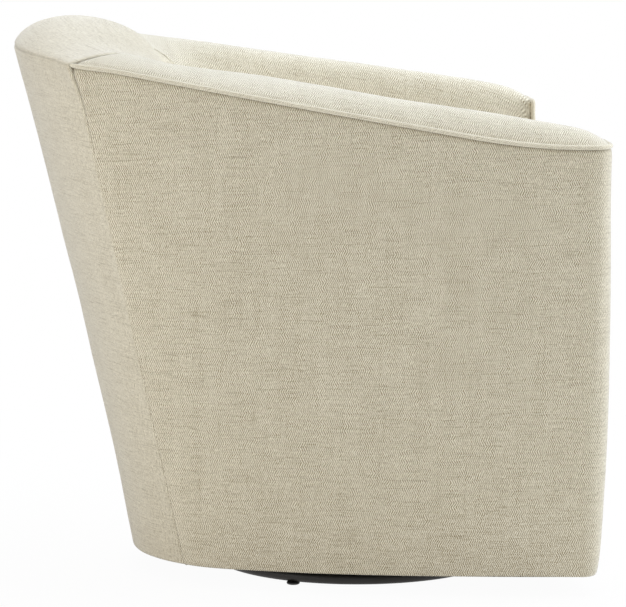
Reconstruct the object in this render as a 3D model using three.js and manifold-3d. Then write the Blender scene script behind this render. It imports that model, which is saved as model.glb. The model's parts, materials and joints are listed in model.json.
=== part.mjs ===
// Swivel barrel chair: an upholstered tub that turns on a steel ring base.
// Millimetres, +Z up, the front towards -Y. Places are measured from the swivel axis and the floor,
// and the last group moves the chair so that its origin lies under the middle of its outline.
import * as THREE from "three";
import { mergeVertices } from "three/addons/utils/BufferGeometryUtils.js";
import Module from "manifold-3d";

const wasm = await Module();
wasm.setup();
const { lerp, degToRad, clamp, smoothstep } = THREE.MathUtils;

// Fits
const fitGap = 0.3;
const cutOverrun = 2;
const weldTolerance = 0.001;
const tangentStepShare = 0.001;
const coverClearance = 0.8;
const panelClearance = 2.4;
const bandClearance = 2;

// Tub outline along the arm welt. A sweep is how far in the corner seams lie from the widest place.
const topRearReach = 471;
const topHalfWidth = 336;
const topFrontReach = 297;
const topBackDepth = 63;
const topSideSweep = 96;
const topCornerRadius = 30;
const topSideShares = [[0.73, 0.225], [1, 0.66]];

// Tub outline along the hem, drawn in from the welt
const hemRearDrawIn = 160;
const hemSideDrawIn = 44;
const hemFrontDrawIn = 11;
const hemBackDepth = 55;
const hemSideSweep = 152;
const hemCornerRadius = 20;
const hemSideShares = [[0.48, 0.113], [0.9, 0.68]];

// How far the back cover hollows, and the side covers bow out, between hem and welt
const backHollowing = 6;
const backBowPeakShare = 0.5;
const sideBow = 9.6;
const sideBowPeakShare = 0.3;

// Height of the welt: level at the front, then a bend, then a straight climb to the back
const weltFrontHeight = 611;
const weltLevelLength = 17;
const weltBendLength = 170;
const weltClimbRatio = 0.185;

// Hollow of the seat, at the top of the walls
const backWidth = 213;
const armFilling = 22;
const hollowShares = [[0.64, 0], [0.93, 0.263]];
const hollowSeamShare = 0.34;
const hollowFanPower = 1.3;

// Rolled tops: the crown over the back, lowest at the corner seams, and the bands over the arms
const crownRise = 41;
const crownRidgeShare = 0.377;
const crownRollDrop = 93;
const crownStartAngle = 10;
const cornerRise = 10;
const cornerRidgeShare = 0.3;
const cornerFlatPower = 1.7;
const flatFadePower = 2;
const flatFadeShare = 0.45;
const crownRakeRatio = 0.2;
const seamRakeShare = 0.86;
const rakeFadeShare = 0.66;
const rakeFadePower = 1.15;
const armRise = 34.5;
const armRiseShares = [0.05, 0.87];
const armRidgeShare = 0.63;
const armRidgeShares = [0.12, 0.42];
const armRollDrop = 34;
const armStartAngle = 35;
const armBlendShare = 0.5;
const endRise = 7;
const endRollDrop = 12;
const endEaseLength = 162;
const endEasePower = 0.75;

// Covers, pads and welts
const coverThickness = 7;
const coverSpacingPower = 1.5;
const armPadThickness = 20;
const backPadThickness = 60;
const rollPadThickness = 20;
const weltRadius = 3.3;
const weltTurnRadius = 4;
const weltStart = 5;
const frontCoverThickness = 12;
const frontCoverSetback = 3;

// Wooden frame
const floorPanelThickness = 18;
const formerThickness = 18;
const formerHeight = 300;
const formerLip = 24;
const postWidth = 44;
const postThickness = 22;
const postSetback = 7;
const backPostShare = 0.8;
const backRailShare = 0.95;
const armRailStartShare = 0.04;
const railWidth = 34;
const armRailHeight = 22;
const backRailHeight = 40;
const seatRailHeight = 60;
const seatRailThickness = 25;
const blockSize = 45;

// Springs, deck and seat cushion
const springCount = 5;
const springMargin = 106;
const springWireRadius = 1.9;
const springWaves = 9;
const springWaveWidth = 46;
const springHold = 12;
const deckThickness = 19;
const cushionThickness = 104;
const cushionCrown = 14;
const cushionClearance = 9;
const cushionWeltRadius = 3;
const cushionSideBow = 5;
const boxingShares = [0, 0.06, 0.25, 0.5, 0.75, 0.94, 1];
const crownShares = [0.93, 0.82, 0.66, 0.44, 0.2];
const cushionFrontDrawIn = 5;
const cushionSetback = 6;
const sharpestMitreRatio = 0.3;

// Steel base and swivel bearing
const ringRadius = 195;
const ringTubeRadius = 8;
const glideRadius = 9;
const glideHeight = 4;
const glideAngle = 146;
const barCount = 4;
const barWidth = 32;
const barThickness = 5;
const barLift = 3;
const hubRadius = 26;
const plateRadius = 65;
const plateThickness = 3;
const ballRadius = 5;
const ballCount = 12;
const ballCircleRadius = 36;
const raceDepth = 1;
const cageHalfWidth = 6;
const cageThickness = 1.6;
const rivetRadius = 7;
const rivetHeadRadius = 12;
const rivetHeadHeight = 2;
const rivetWellRadius = 16;
const boltCircleRadius = 54;
const boltRadius = 3;
const boltHeadRadius = 5;
const boltHeadHeight = 2.5;
const screwAngle = 45;
const screwRadius = 2.5;
const screwHeadRadius = 5;
const screwHeadHeight = 2.5;
const screwLength = 14;
const hemDrop = 1.2;
const dustHoleMargin = 5;

// Places that follow from the outlines and the make-up of the arm
const topSeamReach = topRearReach - topBackDepth;
const hemRearReach = topRearReach - hemRearDrawIn;
const hemHalfWidth = topHalfWidth - hemSideDrawIn;
const hemFrontReach = topFrontReach - hemFrontDrawIn;
const armWidth = coverThickness + postSetback + postThickness + armFilling + armPadThickness;
const hollowHalfWidth = topHalfWidth - armWidth;
const hollowRearReach = topRearReach - backWidth;

// Heights that follow from the stack of base, bearing and floor panel
const ringHeight = glideHeight + ringTubeRadius;
const barBottom = glideHeight + barLift;
const barTop = barBottom + barThickness;
const lowerPlateBottom = barTop + fitGap;
const lowerPlateTop = lowerPlateBottom + plateThickness;
const plateSpacing = 2 * (ballRadius + fitGap - raceDepth);
const ballHeight = lowerPlateTop + plateSpacing / 2;
const upperPlateBottom = lowerPlateTop + plateSpacing;
const upperPlateTop = upperPlateBottom + plateThickness;
const floorPanelBottom = upperPlateTop + fitGap;
const floorPanelTop = floorPanelBottom + floorPanelThickness;
const hemHeight = floorPanelBottom - hemDrop;
const formerTop = formerHeight + formerThickness;
const padBottom = formerTop + fitGap;
const deckBottom = padBottom + 2 * springWireRadius + fitGap;
const deckTop = deckBottom + deckThickness;
const cushionBottom = deckTop + fitGap;
const cushionTop = cushionBottom + cushionThickness;

// Materials
function finish(color, roughness, metalness) {
  return () => new THREE.MeshStandardMaterial({ color, roughness, metalness });
}
const linen = finish(0xdcd5c1, 0.9, 0);
const piping = finish(0xd6cfb9, 0.9, 0);
const blackCloth = finish(0x26241f, 0.95, 0);
const hardwood = finish(0xc19a6b, 0.7, 0);
const plywood = finish(0xcfae7e, 0.75, 0);
const blackSteel = finish(0x24211b, 0.45, 0.8);
const zincSteel = finish(0xb4b6b8, 0.35, 1);
const springSteel = finish(0x6d7074, 0.4, 1);
const blackPlastic = finish(0x1c1b19, 0.6, 0);

// A closed geometry from points and faces, turned so that its faces point outwards.
function geometryFrom(points, faces) {
  const geometry = new THREE.BufferGeometry().setFromPoints(points);
  const volume = faces.reduce((sum, [a, b, c]) =>
    sum + points[a].dot(points[b].clone().cross(points[c])), 0);
  geometry.setIndex(faces.flatMap(([a, b, c]) => (volume < 0 ? [a, c, b] : [a, b, c])));
  geometry.computeVertexNormals();
  return geometry;
}

// Triangles that close a ring of points, wound the way the ring runs.
function capFaces(ring, first) {
  const normal = ring.reduce((sum, point, i) =>
    sum.add(point.clone().cross(ring[(i + 1) % ring.length])), new THREE.Vector3()).normalize();
  const along = ring[1].clone().sub(ring[0]).projectOnPlane(normal).normalize();
  const across = normal.clone().cross(along);
  const flat = ring.map((point) => new THREE.Vector2(point.dot(along), point.dot(across)));
  return THREE.ShapeUtils.triangulateShape(flat, []).map(([a, b, c]) => {
    const turn = flat[b].clone().sub(flat[a]).cross(flat[c].clone().sub(flat[a]));
    return (turn > 0 ? [a, b, c] : [a, c, b]).map((i) => i + first);
  });
}

// A closed solid through a row of rings with the same number of points each.
// A looped row joins its last ring to its first, and needs no caps.
function loft(rings, looped = false) {
  const count = rings[0].length;
  const faces = [];
  for (let i = 0; i < rings.length - (looped ? 0 : 1); i++) {
    const next = (i + 1) % rings.length;
    for (let j = 0; j < count; j++) {
      const beside = (j + 1) % count;
      faces.push([i * count + j, next * count + j, i * count + beside]);
      faces.push([i * count + beside, next * count + j, next * count + beside]);
    }
  }
  if (!looped) {
    faces.push(...capFaces(rings[0], 0));
    faces.push(...capFaces(rings.at(-1), (rings.length - 1) * count).map(([a, b, c]) => [a, c, b]));
  }
  return geometryFrom(rings.flat(), faces);
}

// A round tube through a row of points, its rings turned as little as they can be on the way.
function tube(points, radius, sides, looped = false) {
  const last = points.length - 1;
  const tangents = points.map((point, i) => {
    const before = points[i > 0 ? i - 1 : looped ? last : 0];
    const after = points[i < last ? i + 1 : looped ? 0 : last];
    return after.clone().sub(before).normalize();
  });
  const side = new THREE.Vector3(0, 0, 1).cross(tangents[0]).normalize();
  return loft(points.map((point, i) => {
    side.projectOnPlane(tangents[i]).normalize();
    const up = tangents[i].clone().cross(side);
    return circle(radius, sides).map(({ x, y }) =>
      point.clone().addScaledVector(side, x).addScaledVector(up, y));
  }), looped);
}

function toSolid(geometry) {
  const bare = geometry.clone();
  bare.deleteAttribute("normal");
  bare.deleteAttribute("uv");
  const merged = mergeVertices(bare, weldTolerance);
  return new wasm.Manifold(new wasm.Mesh({
    numProp: 3,
    vertProperties: merged.attributes.position.array,
    triVerts: new Uint32Array(merged.index.array),
  }));
}

function toGeometry(solid) {
  const { vertProperties, triVerts, numProp, numVert } = solid.getMesh();
  const points = Array.from({ length: numVert }, (_, i) =>
    new THREE.Vector3().fromArray(vertProperties, i * numProp));
  const faces = Array.from({ length: triVerts.length / 3 }, (_, i) =>
    Array.from(triVerts.slice(3 * i, 3 * i + 3)));
  return geometryFrom(points, faces);
}

function joined(...geometries) {
  return toGeometry(geometries.map(toSolid).reduce((all, solid) => all.add(solid)));
}

function cut(body, ...tools) {
  return toGeometry(tools.map(toSolid).reduce((all, solid) => all.subtract(solid), toSolid(body)));
}

// Simple solids, each between two heights
function cylinder(radius, bottom, top, place = new THREE.Vector2(), sides = 16) {
  return new THREE.CylinderGeometry(radius, radius, top - bottom, sides)
    .rotateX(Math.PI / 2).translate(place.x, place.y, (bottom + top) / 2);
}

function disc(radius, bottom, top) {
  return cylinder(radius, bottom, top, new THREE.Vector2(), 36);
}

function box(left, right, front, rear, bottom, top) {
  return new THREE.BoxGeometry(right - left, rear - front, top - bottom)
    .translate((left + right) / 2, (front + rear) / 2, (bottom + top) / 2);
}

function plate(outline, bottom, top) {
  return loft([bottom, top].map((height) => outline.map(({ x, y }) => new THREE.Vector3(x, y, height))));
}

function circle(radius, count, turn = 0) {
  return Array.from({ length: count }, (_, i) => polar(radius, turn + 360 * i / count));
}

function polar(radius, angle) {
  return new THREE.Vector2(radius, 0).rotateAround(new THREE.Vector2(), degToRad(angle));
}

// Shares spread evenly over a range
function spread(count, from = 0, to = 1) {
  return Array.from({ length: count + 1 }, (_, i) => lerp(from, to, i / count));
}

// Half of a plan view, in four parts walked from the middle of the back to the arm's inner edge.
function bentLine(start, end, handleShares) {
  const handles = handleShares.map(([across, along]) =>
    new THREE.Vector2(lerp(start.x, end.x, across), lerp(start.y, end.y, along)));
  return new THREE.CubicBezierCurve(start, ...handles, end);
}

function makeOutline(rear, arcDepth, seamHalfWidth, halfWidth, front, cornerRadius, sideShares) {
  const arcRadius = (seamHalfWidth ** 2 + arcDepth ** 2) / (2 * arcDepth);
  const arcAngle = Math.atan2(seamHalfWidth, arcRadius - arcDepth);
  const sideEnd = new THREE.Vector2(halfWidth, cornerRadius - front);
  const side = bentLine(new THREE.Vector2(seamHalfWidth, rear - arcDepth), sideEnd, sideShares);
  const turned = (radius, angle) =>
    new THREE.Vector2(radius * Math.sin(angle), radius * Math.cos(angle));
  return {
    back: (share) => turned(arcRadius, arcAngle * share).add(new THREE.Vector2(0, rear - arcRadius)),
    side: (share) => side.getPoint(share),
    corner: (share) => turned(cornerRadius, Math.PI / 2 * (1 + share))
      .add(new THREE.Vector2(halfWidth - cornerRadius, sideEnd.y)),
    front: (share) => new THREE.Vector2(lerp(halfWidth - cornerRadius, hollowHalfWidth, share), -front),
  };
}

const weltInset = weltRadius + fitGap;
const topSeamHalfWidth = topHalfWidth - topSideSweep;
const topOutline = makeOutline(topRearReach, topBackDepth, topSeamHalfWidth,
  topHalfWidth, topFrontReach, topCornerRadius, topSideShares);
const hemOutline = makeOutline(hemRearReach, hemBackDepth, hemHalfWidth - hemSideSweep,
  hemHalfWidth, hemFrontReach, hemCornerRadius, hemSideShares);
const bandOutline = makeOutline(topRearReach, topBackDepth, topSeamHalfWidth,
  topHalfWidth - weltInset, topFrontReach - weltInset, topCornerRadius - weltInset, topSideShares);

function outwardAt(outline, part, share) {
  const step = tangentStepShare;
  const along = outline[part](Math.min(share + step, 1))
    .sub(outline[part](Math.max(share - step, 0))).normalize();
  return new THREE.Vector2(-along.y, along.x);
}

function weltHeight(part, share) {
  const run = Math.min(topOutline[part](share).y, topSeamReach) + topFrontReach - weltLevelLength;
  const climbed = run < weltBendLength
    ? Math.max(run, 0) ** 2 / (2 * weltBendLength) : run - weltBendLength / 2;
  return weltFrontHeight + weltClimbRatio * climbed;
}

// A bow from hem to welt as a share of its depth, which it reaches at the peak share of the rise.
function bowShape(rise, peak) {
  const held = clamp(rise, 0, 1);
  return (held / peak) ** (2 * peak) * ((1 - held) / (1 - peak)) ** (2 * (1 - peak));
}

// The outer surface at a station and height: straight from hem to welt, but for a slight bow.
function outerPoint(part, share, height) {
  const rise = (height - hemHeight) / (weltHeight(part, share) - hemHeight);
  const bow = part === "back"
    ? -backHollowing * (1 - share ** 2) * bowShape(rise, backBowPeakShare)
    : sideBow * (part === "side" ? share : 1) * bowShape(rise, sideBowPeakShare);
  return hemOutline[part](share).lerp(topOutline[part](share), rise)
    .addScaledVector(outwardAt(topOutline, part, share), bow);
}

function frontSurface(height) {
  return -outerPoint("front", 1, height).y;
}

function hollowPoint(part, share, corner) {
  const end = new THREE.Vector2(hollowHalfWidth, topCornerRadius - topFrontReach);
  const line = bentLine(new THREE.Vector2(0, hollowRearReach), end, hollowShares);
  if (part === "back") return line.getPoint(hollowSeamShare * share);
  if (part === "side") return line.getPoint(lerp(hollowSeamShare, 1, share ** hollowFanPower));
  return new THREE.Vector2(hollowHalfWidth, corner.y);
}

// The wall's cross-section at a station: where it starts, which way it runs inwards, and its roll.
// An inset starts it that far inside the outline.
function wallSection(part, share, inset = 0) {
  const outline = part === "corner" && inset > 0 ? bandOutline : topOutline;
  const start = outline[part](share);
  const inward = hollowPoint(part, share, start).sub(start).normalize();
  const skew = part === "corner" ? 1 : -inward.dot(outwardAt(topOutline, part, share));
  if (part !== "corner") start.addScaledVector(inward, inset / skew);
  const width = hollowPoint(part, share, start).sub(start).length();
  const alongArm = (low, high) => ({ back: 0, side: smoothstep(share, low, high) }[part] ?? 1);
  const armShare = alongArm(0, armBlendShare);
  const crownShare = part === "back" ? (1 + Math.cos(Math.PI * share)) / 2 : 0;
  const endShare = clamp((endEaseLength - topFrontReach - start.y) / endEaseLength, 0, 1);
  const fullness = (1 - endShare ** 2) ** endEasePower;
  const seam = weltHeight(part, share);
  const ridgeShare = part === "back" ? lerp(cornerRidgeShare, crownRidgeShare, crownShare)
    : lerp(cornerRidgeShare, armRidgeShare, alongArm(...armRidgeShares));
  const ridge = width * ridgeShare;
  const rise = part === "back" ? lerp(cornerRise, crownRise, crownShare)
    : lerp(cornerRise, armRise, alongArm(...armRiseShares));
  const ridgeTop = seam + lerp(endRise, rise, fullness);
  const drop = lerp(endRollDrop, lerp(crownRollDrop, armRollDrop, armShare), fullness);
  const rakeShare = {
    back: lerp(1, seamRakeShare, share ** 2),
    side: seamRakeShare * Math.max(1 - share / rakeFadeShare, 0) ** rakeFadePower,
  }[part] ?? 0;
  const rake = crownRakeRatio * rakeShare;
  const startAngle = degToRad(lerp(crownStartAngle, armStartAngle, armShare));
  const flatness = part === "back" ? lerp(1, cornerFlatPower, Math.abs(share) ** flatFadePower)
    : lerp(cornerFlatPower, 1, alongArm(0, flatFadeShare));
  return { start, inward, skew, width, seam, ridge, ridgeTop, drop, rake, startAngle, flatness };
}

// How far in the hollow's face lies at a height, without and with the roll over its top.
function slopeReach({ width, ridgeTop, drop, rake }, height) {
  return width + rake * (ridgeTop - drop - height);
}

function faceReach(section, height) {
  const { width, ridge, ridgeTop, drop, flatness } = section;
  const fallen = (ridgeTop - height) / drop;
  if (fallen >= 1) return slopeReach(section, height);
  return ridge + (width - ridge) * (1 - (1 - fallen) ** 2) ** (flatness / 2);
}

// The rolled top from the outer seam, over the ridge, down the inner side to a height.
function rollPoints(section, lowest, outerSteps, innerSteps) {
  const { seam, ridge, ridgeTop, width, drop, startAngle, flatness } = section;
  const outer = spread(outerSteps, startAngle, Math.PI / 2).map((angle) => [
    ridge * (1 - Math.cos(angle) / Math.cos(startAngle)),
    lerp(seam, ridgeTop, (Math.sin(angle) - Math.sin(startAngle)) / (1 - Math.sin(startAngle))),
  ]);
  const lastAngle = Math.acos(Math.max(0, 1 - (ridgeTop - lowest) / drop));
  const inner = spread(innerSteps, 0, lastAngle).slice(1, -1).map((angle) => [
    ridge + (width - ridge) * Math.sin(angle) ** flatness, ridgeTop - drop * (1 - Math.cos(angle))]);
  return [...outer, ...inner, [faceReach(section, lowest), lowest]];
}

function placed({ start, inward }, points, hand) {
  return points.map(([reach, height]) => {
    const { x, y } = start.clone().addScaledVector(inward, reach);
    return new THREE.Vector3(hand * x, y, height);
  });
}

// Stations round the chair: a part of the outline and a share of the way along it.
const sideStations = spread(12).map((share) => ["side", share]);
const cornerStations = spread(4).slice(1).map((share) => ["corner", share]);
const armStations = [...sideStations, ...cornerStations];
const coverStations = [...armStations, ...spread(2).slice(1).map((share) => ["front", share])];
const backShares = spread(12, -1, 1);
const handOf = (share) => (share < 0 ? -1 : 1);

// The way inwards from the cover, for one unit of thickness. The corner seam is mitred.
function coverInward(part, share) {
  const outward = outwardAt(topOutline, part, share);
  const atSeam = (part === "back" && share === 1) || (part === "side" && share === 0);
  if (!atSeam) return outward.negate();
  const { inward } = wallSection(part, share);
  return inward.divideScalar(-inward.dot(outward));
}

function coverRing(part, share, hand, topTrim, endTrim = 0) {
  const inward = coverInward(part, share).multiplyScalar(coverThickness);
  const outward = outwardAt(topOutline, part, share);
  const trim = new THREE.Vector2(outward.y, -outward.x).multiplyScalar(endTrim);
  const top = weltHeight(part, share) - topTrim;
  const heights = spread(8).map((rise) => lerp(hemHeight, top, rise ** coverSpacingPower));
  const outside = heights.map((height) => [outerPoint(part, share, height).add(trim), height]);
  const inside = outside.map(([point, height]) => [point.clone().add(inward), height]).reverse();
  return [...outside, ...inside].map(([{ x, y }, height]) => new THREE.Vector3(hand * x, y, height));
}

function outsideArm(hand) {
  return loft(coverStations.map(([part, share], i) => {
    const endTrim = i === 0 ? fitGap : i === coverStations.length - 1 ? -weltInset : 0;
    return coverRing(part, share, hand, weltRadius + coverClearance, endTrim);
  }));
}

function outsideBack() {
  return loft(backShares.map((share) => coverRing("back", Math.abs(share), handOf(share), fitGap)));
}

// Cross-sections of an arm, the first one clear of the corner seam.
function armSections(stations) {
  return stations.map(([part, share], i) => {
    const section = wallSection(part, share, weltInset);
    if (i === 0) section.start.addScaledVector(forwardOf(section), fitGap);
    return section;
  });
}

// Square to a section's line inwards, towards the chair's front.
function forwardOf({ inward }) {
  return new THREE.Vector2(-inward.y, inward.x);
}

function armBand(hand) {
  return loft(armSections(armStations).map((section) => {
    const base = section.seam - weltRadius;
    return placed(section, [[0, base], ...rollPoints(section, base, 6, 6)], hand);
  }));
}

function insideArm(hand) {
  const rings = armSections(sideStations).map((section) => {
    const heights = spread(5, section.seam - weltRadius - bandClearance, padBottom);
    const face = heights.map((height) => [faceReach(section, height), height]);
    const behind = face.map(([reach, height]) => [reach - armPadThickness, height]).reverse();
    return placed(section, [...face, ...behind], hand);
  });
  const end = rings.at(-1).map(({ x, z }) =>
    new THREE.Vector3(x, coverThickness + fitGap - frontSurface(z), z));
  return loft([...rings, end]);
}

function insideBack() {
  return loft(backShares.map((share) => {
    const section = wallSection("back", Math.abs(share));
    const rollEnd = section.ridgeTop - section.drop;
    const face = spread(4, rollEnd, padBottom).slice(1)
      .map((height) => [slopeReach(section, height), height]);
    const behind = spread(2, padBottom, section.seam).map((height) => [
      Math.min(slopeReach(section, height) - backPadThickness,
        faceReach(section, height) - rollPadThickness), height]);
    return placed(section, [...rollPoints(section, rollEnd, 6, 7), ...face, ...behind], handOf(share));
  }));
}

function frontCover() {
  const halfWidth = hollowHalfWidth - weltInset;
  return loft(spread(4, hemHeight, deckTop).map((height) => {
    const front = frontCoverSetback - frontSurface(height);
    const rear = front + frontCoverThickness;
    return [[-halfWidth, front], [halfWidth, front], [halfWidth, rear], [-halfWidth, rear]]
      .map(([x, y]) => new THREE.Vector3(x, y, height));
  }));
}

// The welt runs along the arm, round the front corner, and down the arm's inner front edge.
function armWelt(hand) {
  const above = coverStations.slice(0, -1).map(([part, share]) => {
    const { x, y } = topOutline[part](share);
    return new THREE.Vector3(x, y, weltHeight(part, share));
  });
  above[0].addScaledVector(above[1].clone().sub(above[0]).normalize(), weltStart);
  const turn = spread(3).map((share) => {
    const { x, y } = polar(weltTurnRadius, 90 * (1 + share));
    return new THREE.Vector3(hollowHalfWidth + weltTurnRadius + x, -topFrontReach,
      weltFrontHeight - weltTurnRadius + y);
  });
  const down = spread(8, weltFrontHeight - weltTurnRadius, hemHeight).slice(1)
    .map((height) => new THREE.Vector3(hollowHalfWidth, -frontSurface(height), height));
  const path = [...above, ...turn, ...down];
  path.forEach((point) => point.setX(hand * point.x));
  return tube(path, weltRadius, 6);
}

// Half outlines of flat pieces that lie inside the covers or inside the hollow
function insideCovers(stations, height, clearance = coverClearance) {
  return stations.map(([part, share]) =>
    outerPoint(part, share, height)
      .addScaledVector(coverInward(part, share), coverThickness + clearance));
}

function insideHollow(stations, height, inset) {
  return stations.map(([part, share]) => {
    const section = wallSection(part, share);
    return section.start.addScaledVector(section.inward, slopeReach(section, height) + inset / section.skew);
  });
}

function mirroredOutline(half) {
  const other = half.filter(({ x }) => x > 0).reverse().map(({ x, y }) => new THREE.Vector2(-x, y));
  return [...half, ...other];
}

const halfBack = spread(6).map((share) => ["back", share]);
const halfRound = [...halfBack, ...sideStations.slice(1)];

// Wooden frame
const seatRailFront = frontCoverSetback + frontCoverThickness + fitGap
  - frontSurface(formerTop - seatRailHeight);
const seatRailRear = seatRailFront + seatRailThickness;
const floorPanelFront = frontCoverSetback + frontCoverThickness + fitGap - hemFrontReach;
const screwPlaces = circle(boltCircleRadius, barCount, screwAngle);
const boltPlaces = circle(boltCircleRadius, barCount, glideAngle);

function floorOutline() {
  const half = insideCovers(halfRound, hemHeight, panelClearance);
  half.push(new THREE.Vector2(half.at(-1).x - hemCornerRadius / 2, floorPanelFront));
  return mirroredOutline(half);
}

function floorPanel() {
  const bottom = floorPanelBottom - cutOverrun;
  const screwTip = upperPlateBottom + screwLength + fitGap;
  return cut(plate(floorOutline(), floorPanelBottom, floorPanelTop),
    cylinder(rivetWellRadius, bottom, floorPanelTop + cutOverrun),
    ...screwPlaces.map((place) => cylinder(screwRadius + fitGap, bottom, screwTip, place, 8)));
}

function dustCover() {
  const cloth = plate(floorOutline(), hemHeight, floorPanelBottom - fitGap);
  return cut(cloth, disc(plateRadius + dustHoleMargin, hemHeight - cutOverrun, floorPanelBottom));
}

// A post leans outwards with the cover: a four-sided bar between two heights.
function postAt(part, share, shift, bottom, top, hand, clearance = 0) {
  const outward = outwardAt(topOutline, part, share);
  const along = new THREE.Vector2(outward.y, -outward.x);
  const near = coverThickness + postSetback - clearance;
  const far = coverThickness + postSetback + postThickness + clearance;
  const half = postWidth / 2 + clearance;
  return loft([bottom - clearance, top + clearance].map((height) =>
    [[near, -half], [far, -half], [far, half], [near, half]].map(([depth, run]) => {
      const { x, y } = outerPoint(part, share, height)
        .addScaledVector(outward, -depth).addScaledVector(along, run + shift);
      return new THREE.Vector3(hand * x, y, height);
    })));
}

function frontPost(hand, clearance) {
  const shift = -(seatRailRear + fitGap + postWidth / 2 - topOutline.side(1).y);
  const top = weltHeight("side", 1) - weltRadius - bandClearance - armRailHeight - fitGap;
  return postAt("side", 1, shift, floorPanelTop + fitGap, top, hand, clearance);
}

function backPost(hand, clearance) {
  const top = weltHeight("back", backPostShare) - bandClearance - backRailHeight - fitGap;
  return postAt("back", backPostShare, 0, floorPanelTop + fitGap, top, hand, clearance);
}

// A three-sided glue block at the foot of a post, on its inner side.
function footBlock(part, share, shift, hand) {
  const outward = outwardAt(topOutline, part, share);
  const along = new THREE.Vector2(outward.y, -outward.x);
  const bottom = floorPanelTop + fitGap;
  const foot = outerPoint(part, share, bottom);
  const near = coverThickness + postSetback + postThickness + fitGap;
  const corners = [[near, -blockSize / 2], [near + blockSize / 2, 0], [near, blockSize / 2]]
    .map(([depth, run]) => foot.clone()
      .addScaledVector(outward, -depth).addScaledVector(along, run + shift));
  return plate(corners.map(({ x, y }) => new THREE.Vector2(hand * x, y)), bottom, bottom + blockSize);
}

function frontBlock(hand) {
  return footBlock("side", 1, -(seatRailRear + fitGap + postWidth / 2 - topOutline.side(1).y), hand);
}

function backBlock(hand) {
  return footBlock("back", backPostShare, 0, hand);
}

function seatRail(clearance = 0) {
  const halfLength = hollowHalfWidth + armPadThickness + clearance;
  return box(-halfLength, halfLength, seatRailFront - clearance, seatRailRear + clearance,
    formerTop - seatRailHeight - clearance, formerTop + clearance);
}

// Flat plywood plates at seat height carry the pads, the springs and the deck.
function sideFormer(hand) {
  const stations = [["back", 1], ...sideStations.slice(1)];
  const outer = insideCovers(stations, formerHeight, panelClearance);
  const inner = insideHollow(stations, padBottom, formerLip);
  const forward = forwardOf(wallSection("back", 1));
  outer[0].addScaledVector(forward, fitGap);
  inner[0].addScaledVector(forward, fitGap);
  const outline = [...outer, ...inner.reverse()].map(({ x, y }) => new THREE.Vector2(hand * x, y));
  const body = plate(outline, formerHeight, formerTop);
  return cut(body, frontPost(hand, fitGap), backPost(hand, fitGap), seatRail(fitGap));
}

function backFormer() {
  const outer = mirroredOutline(insideCovers(halfBack, formerHeight, panelClearance));
  const inner = mirroredOutline(insideHollow(halfBack, padBottom, formerLip));
  const middle = halfBack.length;
  const turned = (outline) => [...outline.slice(middle), ...outline.slice(0, middle)];
  const body = plate([...turned(outer), ...turned(inner).reverse()], formerHeight, formerTop);
  return cut(body, backPost(1, fitGap), backPost(-1, fitGap));
}

// Top rails follow the covers, and start clear of where the covers lean in at the rails' lower edge.
function railRing(part, share, hand, topGap, height) {
  const section = wallSection(part, share);
  const top = section.seam - topGap;
  const lean = section.start.clone().sub(outerPoint(part, share, top - height))
    .dot(outwardAt(topOutline, part, share));
  const near = (coverThickness + coverClearance + Math.max(lean, 0)) / section.skew;
  const far = near + railWidth;
  return placed(section, [[near, top - height], [far, top - height], [far, top], [near, top]], hand);
}

function armRail(hand) {
  return loft([armRailStartShare, ...spread(12).slice(1)].map((share) =>
    railRing("side", share, hand, weltRadius + bandClearance, armRailHeight)));
}

function backRail() {
  return loft(spread(10, -backRailShare, backRailShare).map((share) =>
    railRing("back", Math.abs(share), handOf(share), bandClearance, backRailHeight)));
}

// Zigzag springs lie on the seat rail and on the back former.
function spring(x) {
  const edge = insideHollow(halfRound, padBottom, springHold);
  const reach = Math.abs(x) + springWaveWidth / 2;
  const next = edge.findIndex((point) => point.x > reach);
  const { x: near, y: nearRear } = edge[next - 1];
  const rear = lerp(nearRear, edge[next].y, (reach - near) / (edge[next].x - near));
  const front = seatRailRear - springHold;
  const height = padBottom + springWireRadius;
  const waves = spread(4 * springWaves, 0, 1).map((share) => {
    const swing = Math.sin(2 * Math.PI * springWaves * share) * springWaveWidth / 2;
    return new THREE.Vector3(x + swing, lerp(front, rear, share), height);
  });
  return tube(waves, springWireRadius, 4);
}

function deck() {
  const half = insideHollow(halfRound, deckBottom, coverClearance);
  const front = frontCoverSetback + frontCoverThickness + fitGap - frontSurface(deckBottom);
  half.push(new THREE.Vector2(half.at(-1).x, front));
  return plate(mirroredOutline(half), deckBottom, deckTop);
}

// Seat cushion: boxing that bows between its seams, a front that draws in, and a crowned top.
function cushionOutline(outset) {
  const half = insideHollow(halfRound, cushionBottom, cushionClearance);
  const front = cushionSetback - frontSurface(cushionBottom);
  const side = half.at(-1).x;
  const edge = spread(4, 1, 0).map((share) =>
    new THREE.Vector2(side * share, front + cushionFrontDrawIn * (1 - share ** 2)));
  return grown(mirroredOutline([...half, ...edge]), outset);
}

// A closed outline that runs clockwise, grown by a distance on every side.
function grown(outline, distance) {
  const count = outline.length;
  return outline.map((point, i) => {
    const before = point.clone().sub(outline[(i + count - 1) % count]).normalize();
    const after = outline[(i + 1) % count].clone().sub(point).normalize();
    const along = before.clone().add(after).normalize();
    const mitre = distance / Math.max(along.dot(after), sharpestMitreRatio);
    return point.clone().add(new THREE.Vector2(-along.y, along.x).multiplyScalar(mitre));
  });
}

function seatCushion() {
  const boxing = boxingShares.map((share) =>
    cushionOutline(4 * share * (1 - share) * cushionSideBow).map(({ x, y }) =>
      new THREE.Vector3(x, y, lerp(cushionBottom, cushionTop, share))));
  const centre = new THREE.Box3().setFromPoints(boxing[0]).getCenter(new THREE.Vector3());
  const top = crownShares.map((share) => boxing.at(-1).map((point) =>
    centre.clone().lerp(point, share).setZ(cushionTop + cushionCrown * (1 - share ** 2))));
  return loft([...boxing, ...top]);
}

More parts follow.
